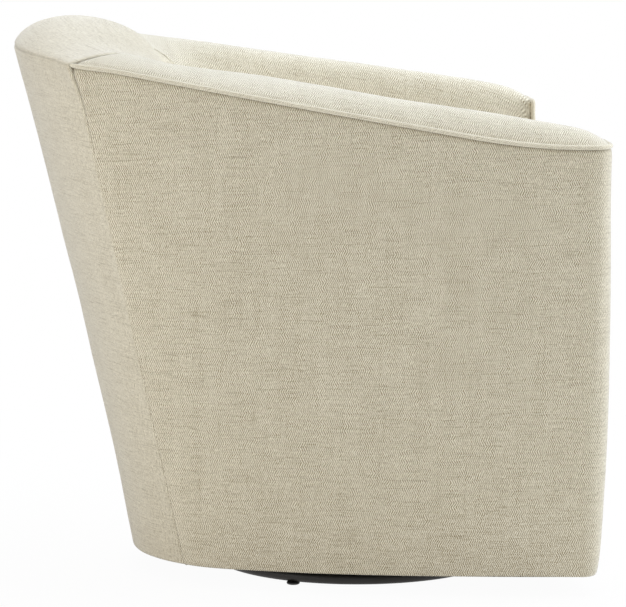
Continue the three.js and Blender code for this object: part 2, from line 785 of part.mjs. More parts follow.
function cushionWelt(height) {
  return tube(cushionOutline(cushionWeltRadius + fitGap)
    .map(({ x, y }) => new THREE.Vector3(x, y, height)), cushionWeltRadius, 5, true);
}

// Steel base
function ringBase() {
  const ring = new THREE.TorusGeometry(ringRadius, ringTubeRadius, 8, 40).translate(0, 0, ringHeight);
  const bars = Array.from({ length: barCount }, (_, i) =>
    box(0, ringRadius, -barWidth / 2, barWidth / 2, barBottom, barTop)
      .rotateZ(degToRad(glideAngle + 360 * i / barCount)));
  const hub = disc(hubRadius, barBottom, barTop);
  const holes = [cylinder(rivetRadius + fitGap, barBottom - cutOverrun, barTop + cutOverrun),
    ...boltPlaces.map((place) =>
      cylinder(boltRadius + fitGap, barBottom - cutOverrun, barTop + cutOverrun, place, 8))];
  return cut(joined(ring, ...bars, hub), ...holes);
}

function bearingPlate(bottom, places, holeRadius) {
  const race = new THREE.TorusGeometry(ballCircleRadius, ballRadius + fitGap, 12, 24)
    .translate(0, 0, ballHeight);
  const holes = [new THREE.Vector2(), ...places].map((place, i) =>
    cylinder((i ? holeRadius : rivetRadius) + fitGap, bottom - cutOverrun,
      bottom + plateThickness + cutOverrun, place, i ? 8 : 16));
  return cut(disc(plateRadius, bottom, bottom + plateThickness), race, ...holes);
}

function ballRetainer() {
  const middle = cageThickness / 2;
  const cage = cut(
    disc(ballCircleRadius + cageHalfWidth, ballHeight - middle, ballHeight + middle),
    disc(ballCircleRadius - cageHalfWidth, ballHeight - cutOverrun, ballHeight + cutOverrun));
  const balls = circle(ballCircleRadius, ballCount).map(({ x, y }) =>
    new THREE.SphereGeometry(ballRadius, 6, 4).rotateX(Math.PI / 2).translate(x, y, ballHeight));
  return joined(cage, ...balls);
}

function centreRivet() {
  const foot = barBottom - fitGap;
  const head = upperPlateTop + fitGap;
  return joined(cylinder(rivetHeadRadius, foot - rivetHeadHeight, foot),
    cylinder(rivetRadius, foot - rivetHeadHeight / 2, head + rivetHeadHeight / 2),
    cylinder(rivetHeadRadius, head, head + rivetHeadHeight));
}

function baseBolt(place) {
  const headTop = barBottom - fitGap;
  const nutBottom = lowerPlateTop + fitGap;
  return joined(cylinder(boltHeadRadius, headTop - boltHeadHeight, headTop, place, 6),
    cylinder(boltRadius, headTop - boltHeadHeight / 2, nutBottom + boltHeadHeight / 2, place, 8),
    cylinder(boltHeadRadius, nutBottom, nutBottom + boltHeadHeight, place, 6));
}

function plateScrew(place) {
  const headTop = upperPlateBottom - fitGap;
  return joined(cylinder(screwHeadRadius, headTop - screwHeadHeight, headTop, place, 12),
    cylinder(screwRadius, headTop - screwHeadHeight / 2, upperPlateBottom + screwLength, place, 8));
}

// Assembly
const chair = new THREE.Group();

function add(name, geometry, material) {
  const mesh = new THREE.Mesh(geometry, material());
  mesh.name = name;
  chair.add(mesh);
}

function addPair(name, make, material) {
  add(name + "_left", make(1), material);
  add(name + "_right", make(-1), material);
}

add("base_ring", ringBase(), blackSteel);
circle(ringRadius, barCount, glideAngle).forEach((place, i) =>
  add("floor_glide_" + (i + 1), cylinder(glideRadius, 0, glideHeight - fitGap, place), blackPlastic));
add("lower_bearing_plate", bearingPlate(lowerPlateBottom, boltPlaces, boltRadius), zincSteel);
add("center_rivet", centreRivet(), zincSteel);
boltPlaces.forEach((place, i) => add("base_bolt_" + (i + 1), baseBolt(place), zincSteel));
add("ball_retainer", ballRetainer(), zincSteel);
add("upper_bearing_plate", bearingPlate(upperPlateBottom, screwPlaces, screwRadius), zincSteel);
screwPlaces.forEach((place, i) => add("plate_screw_" + (i + 1), plateScrew(place), zincSteel));

add("floor_panel", floorPanel(), plywood);
add("dust_cover", dustCover(), blackCloth);
addPair("front_post", frontPost, hardwood);
addPair("back_post", backPost, hardwood);
addPair("front_foot_block", frontBlock, hardwood);
addPair("back_foot_block", backBlock, hardwood);
addPair("side_former", sideFormer, plywood);
add("back_former", backFormer(), plywood);
add("front_seat_rail", seatRail(), hardwood);
addPair("arm_rail", armRail, hardwood);
add("back_rail", backRail(), hardwood);
spread(springCount - 1, -1, 1).forEach((share, i) =>
  add("seat_spring_" + (i + 1), spring(share * (hollowHalfWidth - springMargin)), springSteel));

addPair("outside_arm", outsideArm, linen);
add("outside_back", outsideBack(), linen);
addPair("inside_arm", insideArm, linen);
addPair("arm_band", armBand, linen);
addPair("arm_welt", armWelt, piping);
add("inside_back", insideBack(), linen);
add("front_cover", frontCover(), linen);
add("seat_deck", deck(), linen);
add("seat_cushion", seatCushion(), linen);
add("cushion_welt_top", cushionWelt(cushionTop - cushionWeltRadius), piping);
add("cushion_welt_bottom", cushionWelt(cushionBottom + cushionWeltRadius), piping);

const { min, max } = new THREE.Box3().setFromObject(chair);
chair.position.y = -(min.y + max.y) / 2;

export default chair;
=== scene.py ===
"""Swivel barrel chair: cloth, piping, cushion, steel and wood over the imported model."""
import json
from math import atan2, cos, pi, radians, sin, sqrt, tanh
import bpy
import bmesh
import numpy as np
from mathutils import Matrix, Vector, noise


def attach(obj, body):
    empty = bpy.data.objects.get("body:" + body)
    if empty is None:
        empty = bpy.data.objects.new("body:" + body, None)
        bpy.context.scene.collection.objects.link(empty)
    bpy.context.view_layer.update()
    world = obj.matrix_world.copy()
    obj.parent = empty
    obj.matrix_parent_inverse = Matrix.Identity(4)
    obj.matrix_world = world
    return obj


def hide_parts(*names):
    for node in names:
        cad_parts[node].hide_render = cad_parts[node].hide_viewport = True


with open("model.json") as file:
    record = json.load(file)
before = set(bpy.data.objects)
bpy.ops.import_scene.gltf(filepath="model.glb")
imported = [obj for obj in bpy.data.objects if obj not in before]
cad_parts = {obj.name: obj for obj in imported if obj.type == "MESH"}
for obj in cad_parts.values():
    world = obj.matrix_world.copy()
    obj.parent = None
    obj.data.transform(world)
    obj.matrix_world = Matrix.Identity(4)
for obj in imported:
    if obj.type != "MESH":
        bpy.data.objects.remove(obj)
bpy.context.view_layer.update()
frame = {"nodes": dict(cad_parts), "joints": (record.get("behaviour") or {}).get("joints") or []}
AXIS_Y = next(j for j in frame["joints"] if j["name"] == "swivel")["pos_m"][1]
MM = 0.001

# ------------ sizes, in millimetres and degrees
# Plan views at the welt and at the hem: reach behind and before the axis, depth of the back's arc,
# half widths at the back seam and over all, corner radius, handles of the side's curve
TOP = dict(rear=471, depth=63, seam=240, half=336, front=297, corner=30,
           shares=((0.73, 0.225), (1, 0.66)))
HEM = dict(rear=311, depth=55, seam=140, half=292, front=286, corner=20,
           shares=((0.48, 0.113), (0.9, 0.68)))
SEAM_Y = TOP["rear"] - TOP["depth"]

# Heights
HEM_Z, PAD_Z, DECK_Z, DECK_TOP = 26.0, 318.3, 322.4, 341.4
CUSHION_Z, CUSHION_TOP, PANEL_HEIGHT = 341.7, 445.7, 315

# The welt's line: its height in front, how far it runs level and bends, and its climb from there on
WELT_FRONT_Z, WELT_LEVEL, WELT_BEND, WELT_CLIMB = 611, 17, 170, 0.185

# Bow of the outside covers between hem and welt, and the share of the height where it is deepest
BACK_BOW, BACK_BOW_PEAK, SIDE_BOW, SIDE_BOW_PEAK = -6, 0.5, 9.6, 0.3

# Hollow that the walls' sections run to: its reach, its curve, and how they fan out along it
HOLLOW_REAR, HOLLOW_HALF = 258, 258
HOLLOW_SHARES = ((0.64, 0), (0.93, 0.263))
SEAM_SHARE, HOLLOW_FAN = 0.34, 1.3

# Rolled tops: rise over the welt, ridge's share of the width, and drop from the ridge to the inner
# face; how flat the corner's inner half is, and the angle at which the roll leaves its outer seam;
# lengths over which the arm's end falls and closes; lean of the inner face, and where it ends
CROWN_RISE, CORNER_RISE, ARM_RISE, END_RISE = 41, 10, 34.5, 7
CROWN_RIDGE, CORNER_RIDGE, ARM_RIDGE = 0.377, 0.3, 0.63
CROWN_DROP, ARM_DROP, END_DROP = 93, 34, 12
CORNER_FLATNESS, CROWN_ANGLE, ARM_ANGLE = 1.7, 10, 35
END_EASE, END_ROUNDING = 162, 45
BACK_RAKE, SEAM_RAKE, RAKE_END = 0.2, 0.86, 0.66
ROLL_STEPS, FACE_STEPS, EASING_PASSES = 18, 34, 90

# Thicknesses of cloth with its padding; radii of the welts, and how deep the arm's welt is set
COVER, FRONT_COVER, ARM_PAD, BACK_PAD = 7, 12, 20, 60
WELT_R, WELT_INSET, WELT_SINK, CUSHION_WELT_R = 3.3, 3.6, 2.2, 3.0

# Distances over which the unevenness fades towards a seam
CALM, CALM_TOP = 40, 30

# How far from a seam the cloth starts to roll in, and how deep it gets
HEM_TUCK, WELT_TUCK, BACK_WELT_TUCK, FRONT_TUCK = (4, 2.5), (15, 6.0), (6, 2.2), (5, 3)
CROWN_TUCK, CROWN_END_TUCK, CROWN_EDGE_TUCK = (11, 6.5), (9, 6.0), (11, 3.0)
ARM_END_TUCK, PANEL_SIDE_TUCK, PANEL_TOP_TUCK = (6, 1.6), (6, 3), (9, 6)
GRIP_HEIGHT, SEAM_REACH, SEAM_DEPTH, GRIP_DEPTH = 260, 5, 1.1, 4.7

# Where four seams meet, how far the cloth is drawn back there, and how far round
CORNER = np.array([TOP["seam"], SEAM_Y, 721.0])
CORNER_PULL, CORNER_SPREAD = np.array([0.0, 5.5, -3.0]), 38

# Seat cushion's simulation: cells of its mesh and the most that it swells, in metres, and frames
CUSHION_VOXEL, CUSHION_SWELL, CUSHION_FRAMES = 0.006, 0.012, 20

# Points on an outline, passes that smooth the cushion's, and how level a face on top is
OUTLINE_POINTS, CUSHION_SMOOTHING, LEVEL_FACE = 220, 60, 0.55

# Piping down the front edge: radius of its bend, and the height over which it sinks in
EDGE_BEND, EDGE_LOW, EDGE_HIGH = 4, 540, 600

# Swivel base
RING_R, TUBE_R, RING_Z = 195, 8.0, 12
BAR_TURNS = [radians(146 + 90 * k) for k in range(4)]
BAR_LOW, BAR_HIGH, BAR_HALF, HUB_R, HUB_HOLE, BEVEL = 7, 12, 16, 26, 7.4, 0.8
DUST_HOLE_R = 70.0

# Mesh steps up a cover, along side, back, front and piping, and distances close to a seam
RISE_STEP, SIDE_STEP, BACK_STEP, PANEL_STEP, PIPING_STEP = 8.0, 6.5, 7.0, 8.0, 3.0
EDGE = np.array([0, 0.5, 1.2, 2.2, 3.5, 5, 7, 9.5, 13, 18.0])


# ------------ plan view and cross-sections
def lerp(a, b, t):
    return a + (b - a) * t


def clamp(x):
    return min(max(x, 0.0), 1.0)


def smooth(x, low, high):
    t = clamp((x - low) / (high - low))
    return t * t * (3 - 2 * t)


def run_along(points, axis=0):
    """Distance run at each point of a line, or along an axis of a grid of points."""
    steps = np.linalg.norm(np.diff(points, axis=axis), axis=-1)
    pad = 0 * np.take(steps, [0], axis=axis)
    return np.concatenate([pad, np.cumsum(steps, axis=axis)], axis=axis)


def resampled(path, count):
    """Points at even distances along a line."""
    run = run_along(path)
    places = np.linspace(0, run[-1], count)
    return np.stack([np.interp(places, run, column) for column in path.T], axis=1)


def bezier(start, end, shares):
    """A curve between two points. shares place its handles within the box that the points span."""
    (a, b), (c, d) = shares
    p = [start, np.array([lerp(start[0], end[0], a), lerp(start[1], end[1], b)]),
         np.array([lerp(start[0], end[0], c), lerp(start[1], end[1], d)]), end]
    return lambda t: ((1 - t) ** 3 * p[0] + 3 * (1 - t) ** 2 * t * p[1]
                      + 3 * (1 - t) * t * t * p[2] + t ** 3 * p[3])


class Outline:
    """Half of a plan view, walked from the middle of the back to the arm's inner front edge."""

    def __init__(self, rear, depth, seam, half, front, corner, shares):
        self.radius = (seam ** 2 + depth ** 2) / (2 * depth)
        self.angle = atan2(seam, self.radius - depth)
        self.rear, self.half, self.reach, self.corner = rear, half, front, corner
        self.side = bezier(np.array([seam, rear - depth]), np.array([half, corner - front]), shares)

    def at(self, part, share):
        if part == "back":
            turn = self.angle * share
            return np.array([self.radius * sin(turn),
                             self.rear - self.radius + self.radius * cos(turn)])
        if part == "side":
            return self.side(share)
        if part == "corner":
            turn = pi / 2 * (1 + share)
            return np.array([self.half - self.corner + self.corner * sin(turn),
                             self.corner - self.reach + self.corner * cos(turn)])
        return np.array([lerp(self.half - self.corner, HOLLOW_HALF, share), -self.reach])

    def outward(self, part, share):
        along = self.at(part, min(share + 0.001, 1)) - self.at(part, max(share - 0.001, 0))
        along /= np.linalg.norm(along)
        return np.array([-along[1], along[0]])

    def walk(self, part, distances=None):
        """Shares at the given distances along a part, or the part's length."""
        shares = np.linspace(0, 1, 401)
        points = np.array([self.at(part, s) for s in shares])
        run = run_along(points)
        return run[-1] if distances is None else np.interp(distances, run, shares)


top = Outline(**TOP)
hem = Outline(**HEM)
band = Outline(**{**TOP, **{key: TOP[key] - WELT_INSET for key in ("half", "front", "corner")}})
hollow = bezier(np.array([0.0, HOLLOW_REAR]), np.array([HOLLOW_HALF, TOP["corner"] - TOP["front"]]),
                HOLLOW_SHARES)


def welt_z(part, share):
    """Height of the welt, which is also the top of the outside covers."""
    run = min(top.at(part, share)[1], SEAM_Y) + (TOP["front"] - WELT_LEVEL)
    climbed = max(run, 0) ** 2 / (2 * WELT_BEND) if run < WELT_BEND else run - WELT_BEND / 2
    return WELT_FRONT_Z + WELT_CLIMB * climbed


def bow_shape(rise, peak):
    """A bow from hem to welt as a share of its depth, which it reaches at the peak share."""
    held = clamp(rise)
    return (held / peak) ** (2 * peak) * ((1 - held) / (1 - peak)) ** (2 * (1 - peak))


def outer_point(part, share, z):
    """Where the outside covers' surface passes through a height at a station."""
    rise = (z - HEM_Z) / (welt_z(part, share) - HEM_Z)
    if part == "back":
        bow = BACK_BOW * (1 - share ** 2) * bow_shape(rise, BACK_BOW_PEAK)
    else:
        bow = SIDE_BOW * (share if part == "side" else 1) * bow_shape(rise, SIDE_BOW_PEAK)
    return lerp(hem.at(part, share), top.at(part, share), rise) + top.outward(part, share) * bow


def front_y(z):
    """Where the arm's front stands at a height."""
    return outer_point("front", 1, z)[1]


def hollow_point(part, share, corner_y):
    """The point of the hollow's edge that the wall's section at a station runs to."""
    if part == "back":
        return hollow(SEAM_SHARE * share)
    if part == "side":
        return hollow(lerp(SEAM_SHARE, 1, share ** HOLLOW_FAN))
    return np.array([HOLLOW_HALF, corner_y])


class Section:
    """The wall's cross-section at a station: reach inwards and height."""

    def __init__(self, part, share, inset=0.0):
        outline = band if part == "corner" and inset else top
        start = outline.at(part, share)
        inward = hollow_point(part, share, start[1]) - start
        inward /= np.linalg.norm(inward)
        self.skew = 1 if part == "corner" else -inward @ top.outward(part, share)
        if part != "corner":
            start = start + inward * inset / self.skew
        self.part, self.start, self.inward = part, start, inward
        self.width = np.linalg.norm(hollow_point(part, share, start[1]) - start)

        def along_arm(low, high):
            return {"back": 0.0, "side": smooth(share, low, high)}.get(part, 1.0)

        arm = along_arm(0, 0.5)
        full = (1 - clamp((END_EASE - TOP["front"] - start[1]) / END_EASE) ** 2) ** 0.75
        if part == "back":
            crown = (1 + cos(pi * share)) / 2
            rise = lerp(CORNER_RISE, CROWN_RISE, crown)
            ridge = lerp(CORNER_RIDGE, CROWN_RIDGE, crown)
            self.flatness = lerp(1, CORNER_FLATNESS, share ** 2)
        else:
            rise = lerp(CORNER_RISE, ARM_RISE, along_arm(0.05, 0.87))
            ridge = lerp(CORNER_RIDGE, ARM_RIDGE, along_arm(0.12, 0.42))
            self.flatness = lerp(CORNER_FLATNESS, 1, along_arm(0, 0.45))
        self.seam = welt_z(part, share)
        self.ridge = self.width * ridge
        self.ridge_top = self.seam + lerp(END_RISE, rise, full)
        self.drop = lerp(END_DROP, lerp(CROWN_DROP, ARM_DROP, arm), full)
        leaning = {"back": lerp(1, SEAM_RAKE, share ** 2),
                   "side": SEAM_RAKE * max(1 - share / RAKE_END, 0) ** 1.15}
        self.rake = BACK_RAKE * leaning.get(part, 0)
        self.first_angle = radians(lerp(CROWN_ANGLE, ARM_ANGLE, arm))

    def slope(self, z):
        """How far in the leaning inner face lies at a height."""
        return self.width + self.rake * (self.ridge_top - self.drop - z)

    def reach(self, z):
        """How far in the surface lies at a height, with the roll over its top."""
        fallen = (self.ridge_top - z) / self.drop
        if fallen >= 1:
            return self.slope(z)
        out = (1 - (1 - fallen) ** 2) ** (self.flatness / 2)
        return self.ridge + (self.width - self.ridge) * out

    def roll(self):
        """The rolled top, from the outer seam over the ridge to the inner face."""
        first = self.first_angle
        low = sin(first)
        outer = [[self.ridge * (1 - cos(a) / cos(first)),
                  lerp(self.seam, self.ridge_top, (sin(a) - low) / (1 - low))]
                 for a in np.linspace(first, pi / 2, ROLL_STEPS + 1)]
        inner = [[self.ridge + (self.width - self.ridge) * sin(a) ** self.flatness,
                  self.ridge_top - self.drop * (1 - cos(a))]
                 for a in np.linspace(0, pi / 2, ROLL_STEPS + 1)[1:]]
        return outer + inner

    def profile(self, width, lead=()):
        """Lead points, roll and inner face, rounded over a width where roll and face meet."""
        head = [*lead, *self.roll()]
        foot = np.linspace(self.ridge_top - self.drop, PAD_Z, FACE_STEPS + 1)[1:]
        points = np.array(head + [[self.slope(z), z] for z in foot], float)
        run = run_along(points)
        weight = 0.5 * np.exp(-((run - run[len(head) - 1]) / width) ** 2)[1:-1, None]
        for _ in range(EASING_PASSES):
            middle = (points[:-2] + points[2:]) / 2
            points[1:-1] += weight * (middle - points[1:-1])
        return points

    def place(self, reach, z):
        return np.array([*(self.start + self.inward * reach), z])


# Stations of the back and the side for outlines inside the tub
WALL = ([("back", share) for share in np.linspace(0, 1, 25)]
        + [("side", share) for share in np.linspace(0, 1, 61)[1:]])


# ------------ mesh making
def circle(radius, z, count, x=0, y=0):
    return [[x + radius * cos(a), y + radius * sin(a), z]
            for a in np.linspace(0, 2 * pi, count, endpoint=False)]


def spaced(length, step, head=True, tail=True):
    """Distances along a length, closer together at the ends that are seams."""
    first = EDGE if head else np.array([0.0])
    last = length - EDGE[::-1] if tail else np.array([length])
    count = max(int(round((last[0] - first[-1]) / step)), 1)
    return np.concatenate([first, np.linspace(first[-1], last[0], count + 1)[1:-1], last])


def faded(distance, over):
    """0 at a seam, rising evenly to 1 at a distance from it."""
    return np.minimum(distance / over, 1)


def tuck(distance, reach, depth):
    """How deep cloth rolls in at a distance from its seam."""
    left = np.clip(1 - np.asarray(distance, float) / reach, 0, 1)
    return depth * (1 - np.sqrt(1 - left ** 2))


def ripples(grid, seed, coarse, fine):
    """Slow and small unevenness of cloth over padding."""
    shift = Vector((seed * 17.3, seed * 5.1, seed * 9.7))
    return np.array([[coarse * noise.noise(Vector(p) * 0.009 + shift)
                      + fine * noise.noise(Vector(p) * 0.043 + shift) for p in row]
                     for row in grid])


def spread(values, grid, axis=1):
    """Values along one axis of a grid of points, repeated along the other."""
    return np.expand_dims(values, axis) + np.zeros(grid.shape[:2])


def relieved(grid, amount, inside):
    """Moves a grid of points out of its surface. inside is a point per row that lies behind it."""
    normal = np.cross(np.gradient(grid, axis=0), np.gradient(grid, axis=1))
    normal /= np.linalg.norm(normal, axis=2, keepdims=True) + 1e-9
    if np.sum(normal * (grid - inside[:, None])) < 0:
        normal = -normal
    return grid + normal * amount[..., None]


def drawn_back(points):
    """All covers are drawn back a little where their four seams meet at the corner."""
    away = points * [0, 1, 1] + np.abs(points) * [1, 0, 0] - CORNER
    return points + CORNER_PULL * np.exp(-np.sum((away / CORNER_SPREAD) ** 2, axis=1))[:, None]


def linked(name, data):
    """A new object, put in the scene."""
    thing = bpy.data.objects.new(name, data)
    bpy.context.scene.collection.objects.link(thing)
    return thing


def object_from(name, points, faces, uvs, sharp):
    """A smooth closed mesh. Points, and a UV pair for each face corner, are in millimetres."""
    place = drawn_back(np.array(points, float)) * MM
    place[:, 1] += AXIS_Y
    mesh = bpy.data.meshes.new(name)
    mesh.from_pydata(place.tolist(), [], faces)
    layer = mesh.uv_layers.new(name="weave")
    layer.data.foreach_set("uv", (np.array(uvs, float) * MM).ravel())
    work = bmesh.new()
    work.from_mesh(mesh)
    bmesh.ops.recalc_face_normals(work, faces=work.faces)
    bmesh.ops.triangulate(work, faces=[f for f in work.faces if len(f.verts) > 4],
                          ngon_method="EAR_CLIP")
    work.to_mesh(mesh)
    work.free()
    mesh.shade_smooth()
    mesh.set_sharp_from_angle(angle=radians(sharp))
    return linked(name, mesh)


def loft_data(rings, origin=0, looped=False, base=0):
    """Points, faces and corner UVs of a row of closed rings.

    u runs along the row from the ring that origin counts, v round each ring. A looped row closes
    on itself. base is the number of points before these.
    """
    rings = np.array(rings, float)
    n, m = rings.shape[:2]
    row = np.concatenate([rings, rings[:1]]) if looped else rings
    along = run_along(row, 0)
    along = np.concatenate([along, along[:, :1]], axis=1) - along[origin][[*range(m), 0]]
    around = run_along(np.concatenate([row, row[:, :1]], axis=1), 1)
    faces, uvs = [], []
    for i in range(len(row) - 1):
        for j in range(m):
            corners = ((i, j), (i, j + 1), (i + 1, j + 1), (i + 1, j))
            faces.append(tuple(base + (a % n) * m + b % m for a, b in corners))
            uvs.extend((along[a, b], around[a, b]) for a, b in corners)
    if not looped:
        for i in (0, n - 1):
            faces.append(tuple(base + i * m + j for j in range(m)))
            uvs.extend((p[0], p[2]) for p in rings[i])
    return rings.reshape(-1, 3), faces, uvs


def loft(name, rings, sharp=50, **options):
    return object_from(name, *loft_data(rings, **options), sharp)


def together(name, parts, sharp):
    """One mesh from several closed lofts, each with whether it is looped."""
    points, faces, uvs = [], [], []
    for rings, looped in parts:
        p, f, t = loft_data(rings, looped=looped, base=len(points))
        points.extend(p)
        faces.extend(f)
        uvs.extend(t)
    return object_from(name, points, faces, uvs, sharp)


def tube_rings(path, radius, sides=14, looped=False):
    """Rings of a round bar along a path, without twist."""
    path = np.array(path, float)
    after, before = np.roll(path, -1, axis=0), np.roll(path, 1, axis=0)
    if not looped:
        after[-1], before[0] = path[-1], path[0]
    tangents = after - before
    tangents /= np.linalg.norm(tangents, axis=1, keepdims=True)
    side = np.cross([0, 0, 1.0], tangents[0])
    radii = np.broadcast_to(radius, len(path))
    rings = []
    for point, tangent, r in zip(path, tangents, radii):
        side = side - tangent * (side @ tangent)
        side /= np.linalg.norm(side)
        up = np.cross(tangent, side)
        rings.append([point + r * (c * side + s * up) for c, s, _ in circle(1, 0, sides)])
    return np.array(rings)


def hand_of(points, hand):
    """Points for the left as they are, for the right mirrored."""
    return np.array(points) * [hand, 1, 1]


# ------------ materials
class Graph:
    """Short ways to add nodes to a tree."""

    def __init__(self, tree):
        self.tree = tree

    def node(self, kind, inputs=None, output=0, **settings):
        made = self.tree.nodes.new("ShaderNode" + kind)
        for key, value in settings.items():
            setattr(made, key, value)
        for key, value in (inputs or {}).items():
            if isinstance(value, bpy.types.NodeSocket):
                self.tree.links.new(value, made.inputs[key])
            else:
                made.inputs[key].default_value = value
        return made.outputs[output]

    def math(self, operation, a, b=0.0):
        return self.node("Math", {0: a, 1: b}, operation=operation)

    def add(self, *values):
        total = values[0]
        for value in values[1:]:
            total = self.math("ADD", total, value)
        return total

    def times(self, a, b):
        return self.math("MULTIPLY", a, b)

    def noise(self, vector, scale, detail=2.0, rough=0.5):
        """Noise of one scale, or of a scale along each axis."""
        if isinstance(scale, tuple):
            vector, scale = self.node("Mapping", {"Vector": vector, "Scale": scale}), 1.0
        return self.node("TexNoise", {"Vector": vector, "Scale": scale, "Detail": detail,
                                      "Roughness": rough})

    def centred(self, *args):
        return self.math("SUBTRACT", self.noise(*args), 0.5)

    def ramp(self, value, low, high, first=0.0, last=1.0):
        return self.node("MapRange", {"Value": value, "From Min": low, "From Max": high,
                                      "To Min": first, "To Max": last},
                         interpolation_type="SMOOTHSTEP")

    def mix(self, factor, a, b):
        return self.node("Mix", {0: factor, 6: a, 7: b}, output=2, data_type="RGBA")

    def looked_at(self):
        """1 where the camera, a reflection or glass looks straight at it, and 0 elsewhere."""
        rays = self.tree.nodes.new("ShaderNodeLightPath").outputs
        seen = (rays[f"Is {kind} Ray"] for kind in ("Camera", "Glossy", "Transmission"))
        return self.math("MINIMUM", self.add(*seen), 1.0)


class Shader(Graph):
    """A material with a Principled shader. The values go straight on its sockets."""

    def __init__(self, name, **values):
        self.material = bpy.data.materials.new(name)
        self.material.use_nodes = True
        super().__init__(self.material.node_tree)
        self.surface = self.tree.nodes["Principled BSDF"]
        for key, value in values.items():
            self.surface.inputs[key.replace("_", " ")].default_value = value

    def finish(self, color, roughness, height, distance, strength):
        """Links the colour, the roughness where it varies, and a bump of a depth and strength."""
        links = self.tree.links
        links.new(color, self.surface.inputs["Base Color"])
        if roughness is not None:
            links.new(roughness, self.surface.inputs["Roughness"])
        bump = self.node("Bump", {"Height": height, "Strength": strength, "Distance": distance})
        links.new(bump, self.surface.inputs["Normal"])
        return self.material


def srgb(r, g, b):
    def linear(c):
        c /= 255
        return c / 12.92 if c <= 0.04045 else ((c + 0.055) / 1.055) ** 2.4
    return (linear(r), linear(g), linear(b), 1.0)


def linen(name, turn=0.0, contrast=1.0, painted_light_lift=0.0, bright=(249, 241, 220)):
    """Herringbone cloth of slubby yarn: leaning strokes in bands, streaks along and across."""
    s = Shader(name, Roughness=0.92, Specular_IOR_Level=0.15, Sheen_Weight=0.75,
               Sheen_Roughness=0.45)
    uv = s.node("UVMap", uv_map="weave")
    flat = s.node("Mapping", {"Vector": uv, "Rotation": (0, 0, turn)})
    wander = s.node("TexNoise", {"Vector": flat, "Scale": 45.0, "Detail": 1.0}, output=1)
    offset = s.node("VectorMath", {0: wander, 1: (0.5, 0.5, 0.5)}, operation="SUBTRACT")
    flat = s.node("VectorMath", {0: offset, 1: (0.004, 0.004, 0.0), 2: flat},
                  operation="MULTIPLY_ADD")
    u, v = s.node("SeparateXYZ", {0: flat}).node.outputs[:2]
    row = s.add(s.math("DIVIDE", v, 0.0066), s.times(s.centred(flat, (28, 36, 1), 1.0), 3.0))
    side = s.ramp(s.math("PINGPONG", row, 1.0), 0.3, 0.7)
    across, lean = s.math("DIVIDE", u, 0.0029), s.math("DIVIDE", v, 0.0062)
    rising = s.math("SINE", s.times(s.add(across, lean), 2 * pi))
    falling = s.math("SINE", s.times(s.add(across, s.times(lean, -1.0)), 2 * pi))
    stroke = s.add(s.times(rising, side), s.times(falling, s.math("SUBTRACT", 1.0, side)))
    yarn = s.times(s.noise(flat, (330, 120, 1), 1.0),
                   s.ramp(s.noise(flat, (90, 45, 1)), 0.3, 0.7, 0.5, 1.5))
    fleck = s.centred(flat, (520, 260, 1), 2.0, 0.6)
    knot = s.centred(flat, (160, 280, 1), 2.0, 0.6)
    slub = s.ramp(s.noise(flat, (20, 560, 1), 2.0, 0.55), 0.52, 0.72)
    thin = s.ramp(s.noise(flat, (14, 900, 1), 1.0), 0.52, 0.72)
    upright = s.ramp(s.noise(flat, (480, 12, 1)), 0.54, 0.76)
    bar = s.centred(flat, (60, 6, 1))
    cloud = s.centred(flat, 26.0, 3.0)
    weave = s.times(s.times(stroke, yarn), 0.82 * contrast)
    yarns = ((fleck, 0.95), (knot, 0.4), (slub, -0.2), (thin, -0.18), (upright, -0.13))
    # Raising the tone here paints light into the lighter copies of the cloth.
    tone = s.add(0.615 + painted_light_lift, weave, *(s.times(value, depth * contrast) for value, depth in yarns),
                 s.times(bar, 0.15), s.times(cloud, 0.13))
    colour = s.mix(tone, srgb(149, 133, 101), srgb(*bright))
    # Painted shade: the cloth darkens towards srgb(88, 76, 56) where the seam attribute says it
    # runs down into a seam.
    seam = s.node("Attribute", attribute_name="seam", output=2)
    colour = s.mix(s.times(seam, 0.75), colour, srgb(88, 76, 56))
    height = s.add(s.times(stroke, 0.5), s.times(fleck, 0.9), s.times(slub, 0.4))
    return s.finish(colour, None, height, 0.0004, 0.7)


def wood(name, pale, deep, grain, plies=0.0):
    """Grain stretched along an axis, with darker plies of a thickness in metres if it is given."""
    s = Shader(name, Roughness=0.68, Specular_IOR_Level=0.3)
    where = s.node("TexCoord", output=3)
    warp = s.centred(where, 7.0)
    placed = s.node("Mapping", {"Vector": where, "Scale": grain})
    rings = s.node("TexNoise", {"Vector": placed, "Scale": 1.0, "Detail": 6.0, "Distortion": 0.7})
    pores = s.ramp(s.noise(where, tuple(4 * g for g in grain)), 0.55, 0.7)
    tone = s.add(rings, s.times(warp, 0.5), s.times(pores, -0.18))
    if plies:
        height = s.node("SeparateXYZ", {0: where}, output=2)
        layer = s.math("PINGPONG", s.math("DIVIDE", height, plies), 1.0)
        tone = s.add(tone, s.ramp(layer, 0.35, 0.65, -0.16, 0.16))
    colour = s.mix(s.ramp(tone, 0.3, 0.75), pale, deep)
    return s.finish(colour, s.ramp(pores, 0, 1, 0.62, 0.8), tone, 0.0004, 0.5)


def metal(name, colour, dull, rough):
    """Plated or drawn steel with patches, fine scratches and dust."""
    s = Shader(name, Metallic=1.0)
    where = s.node("TexCoord", output=3)
    patch = s.noise(where, 90.0, 3.0)
    scratch = s.ramp(s.noise(where, (60, 900, 900)), 0.58, 0.72)
    dust = s.ramp(s.noise(where, 22.0, 4.0), 0.45, 0.8)
    tone = s.mix(s.add(s.times(patch, 0.5), s.times(dust, 0.3)), colour, dull)
    roughness = s.add(rough, s.times(patch, 0.18), s.times(scratch, 0.12), s.times(dust, 0.1))
    return s.finish(tone, roughness, s.add(patch, s.times(scratch, -0.5)), 0.0002, 0.35)


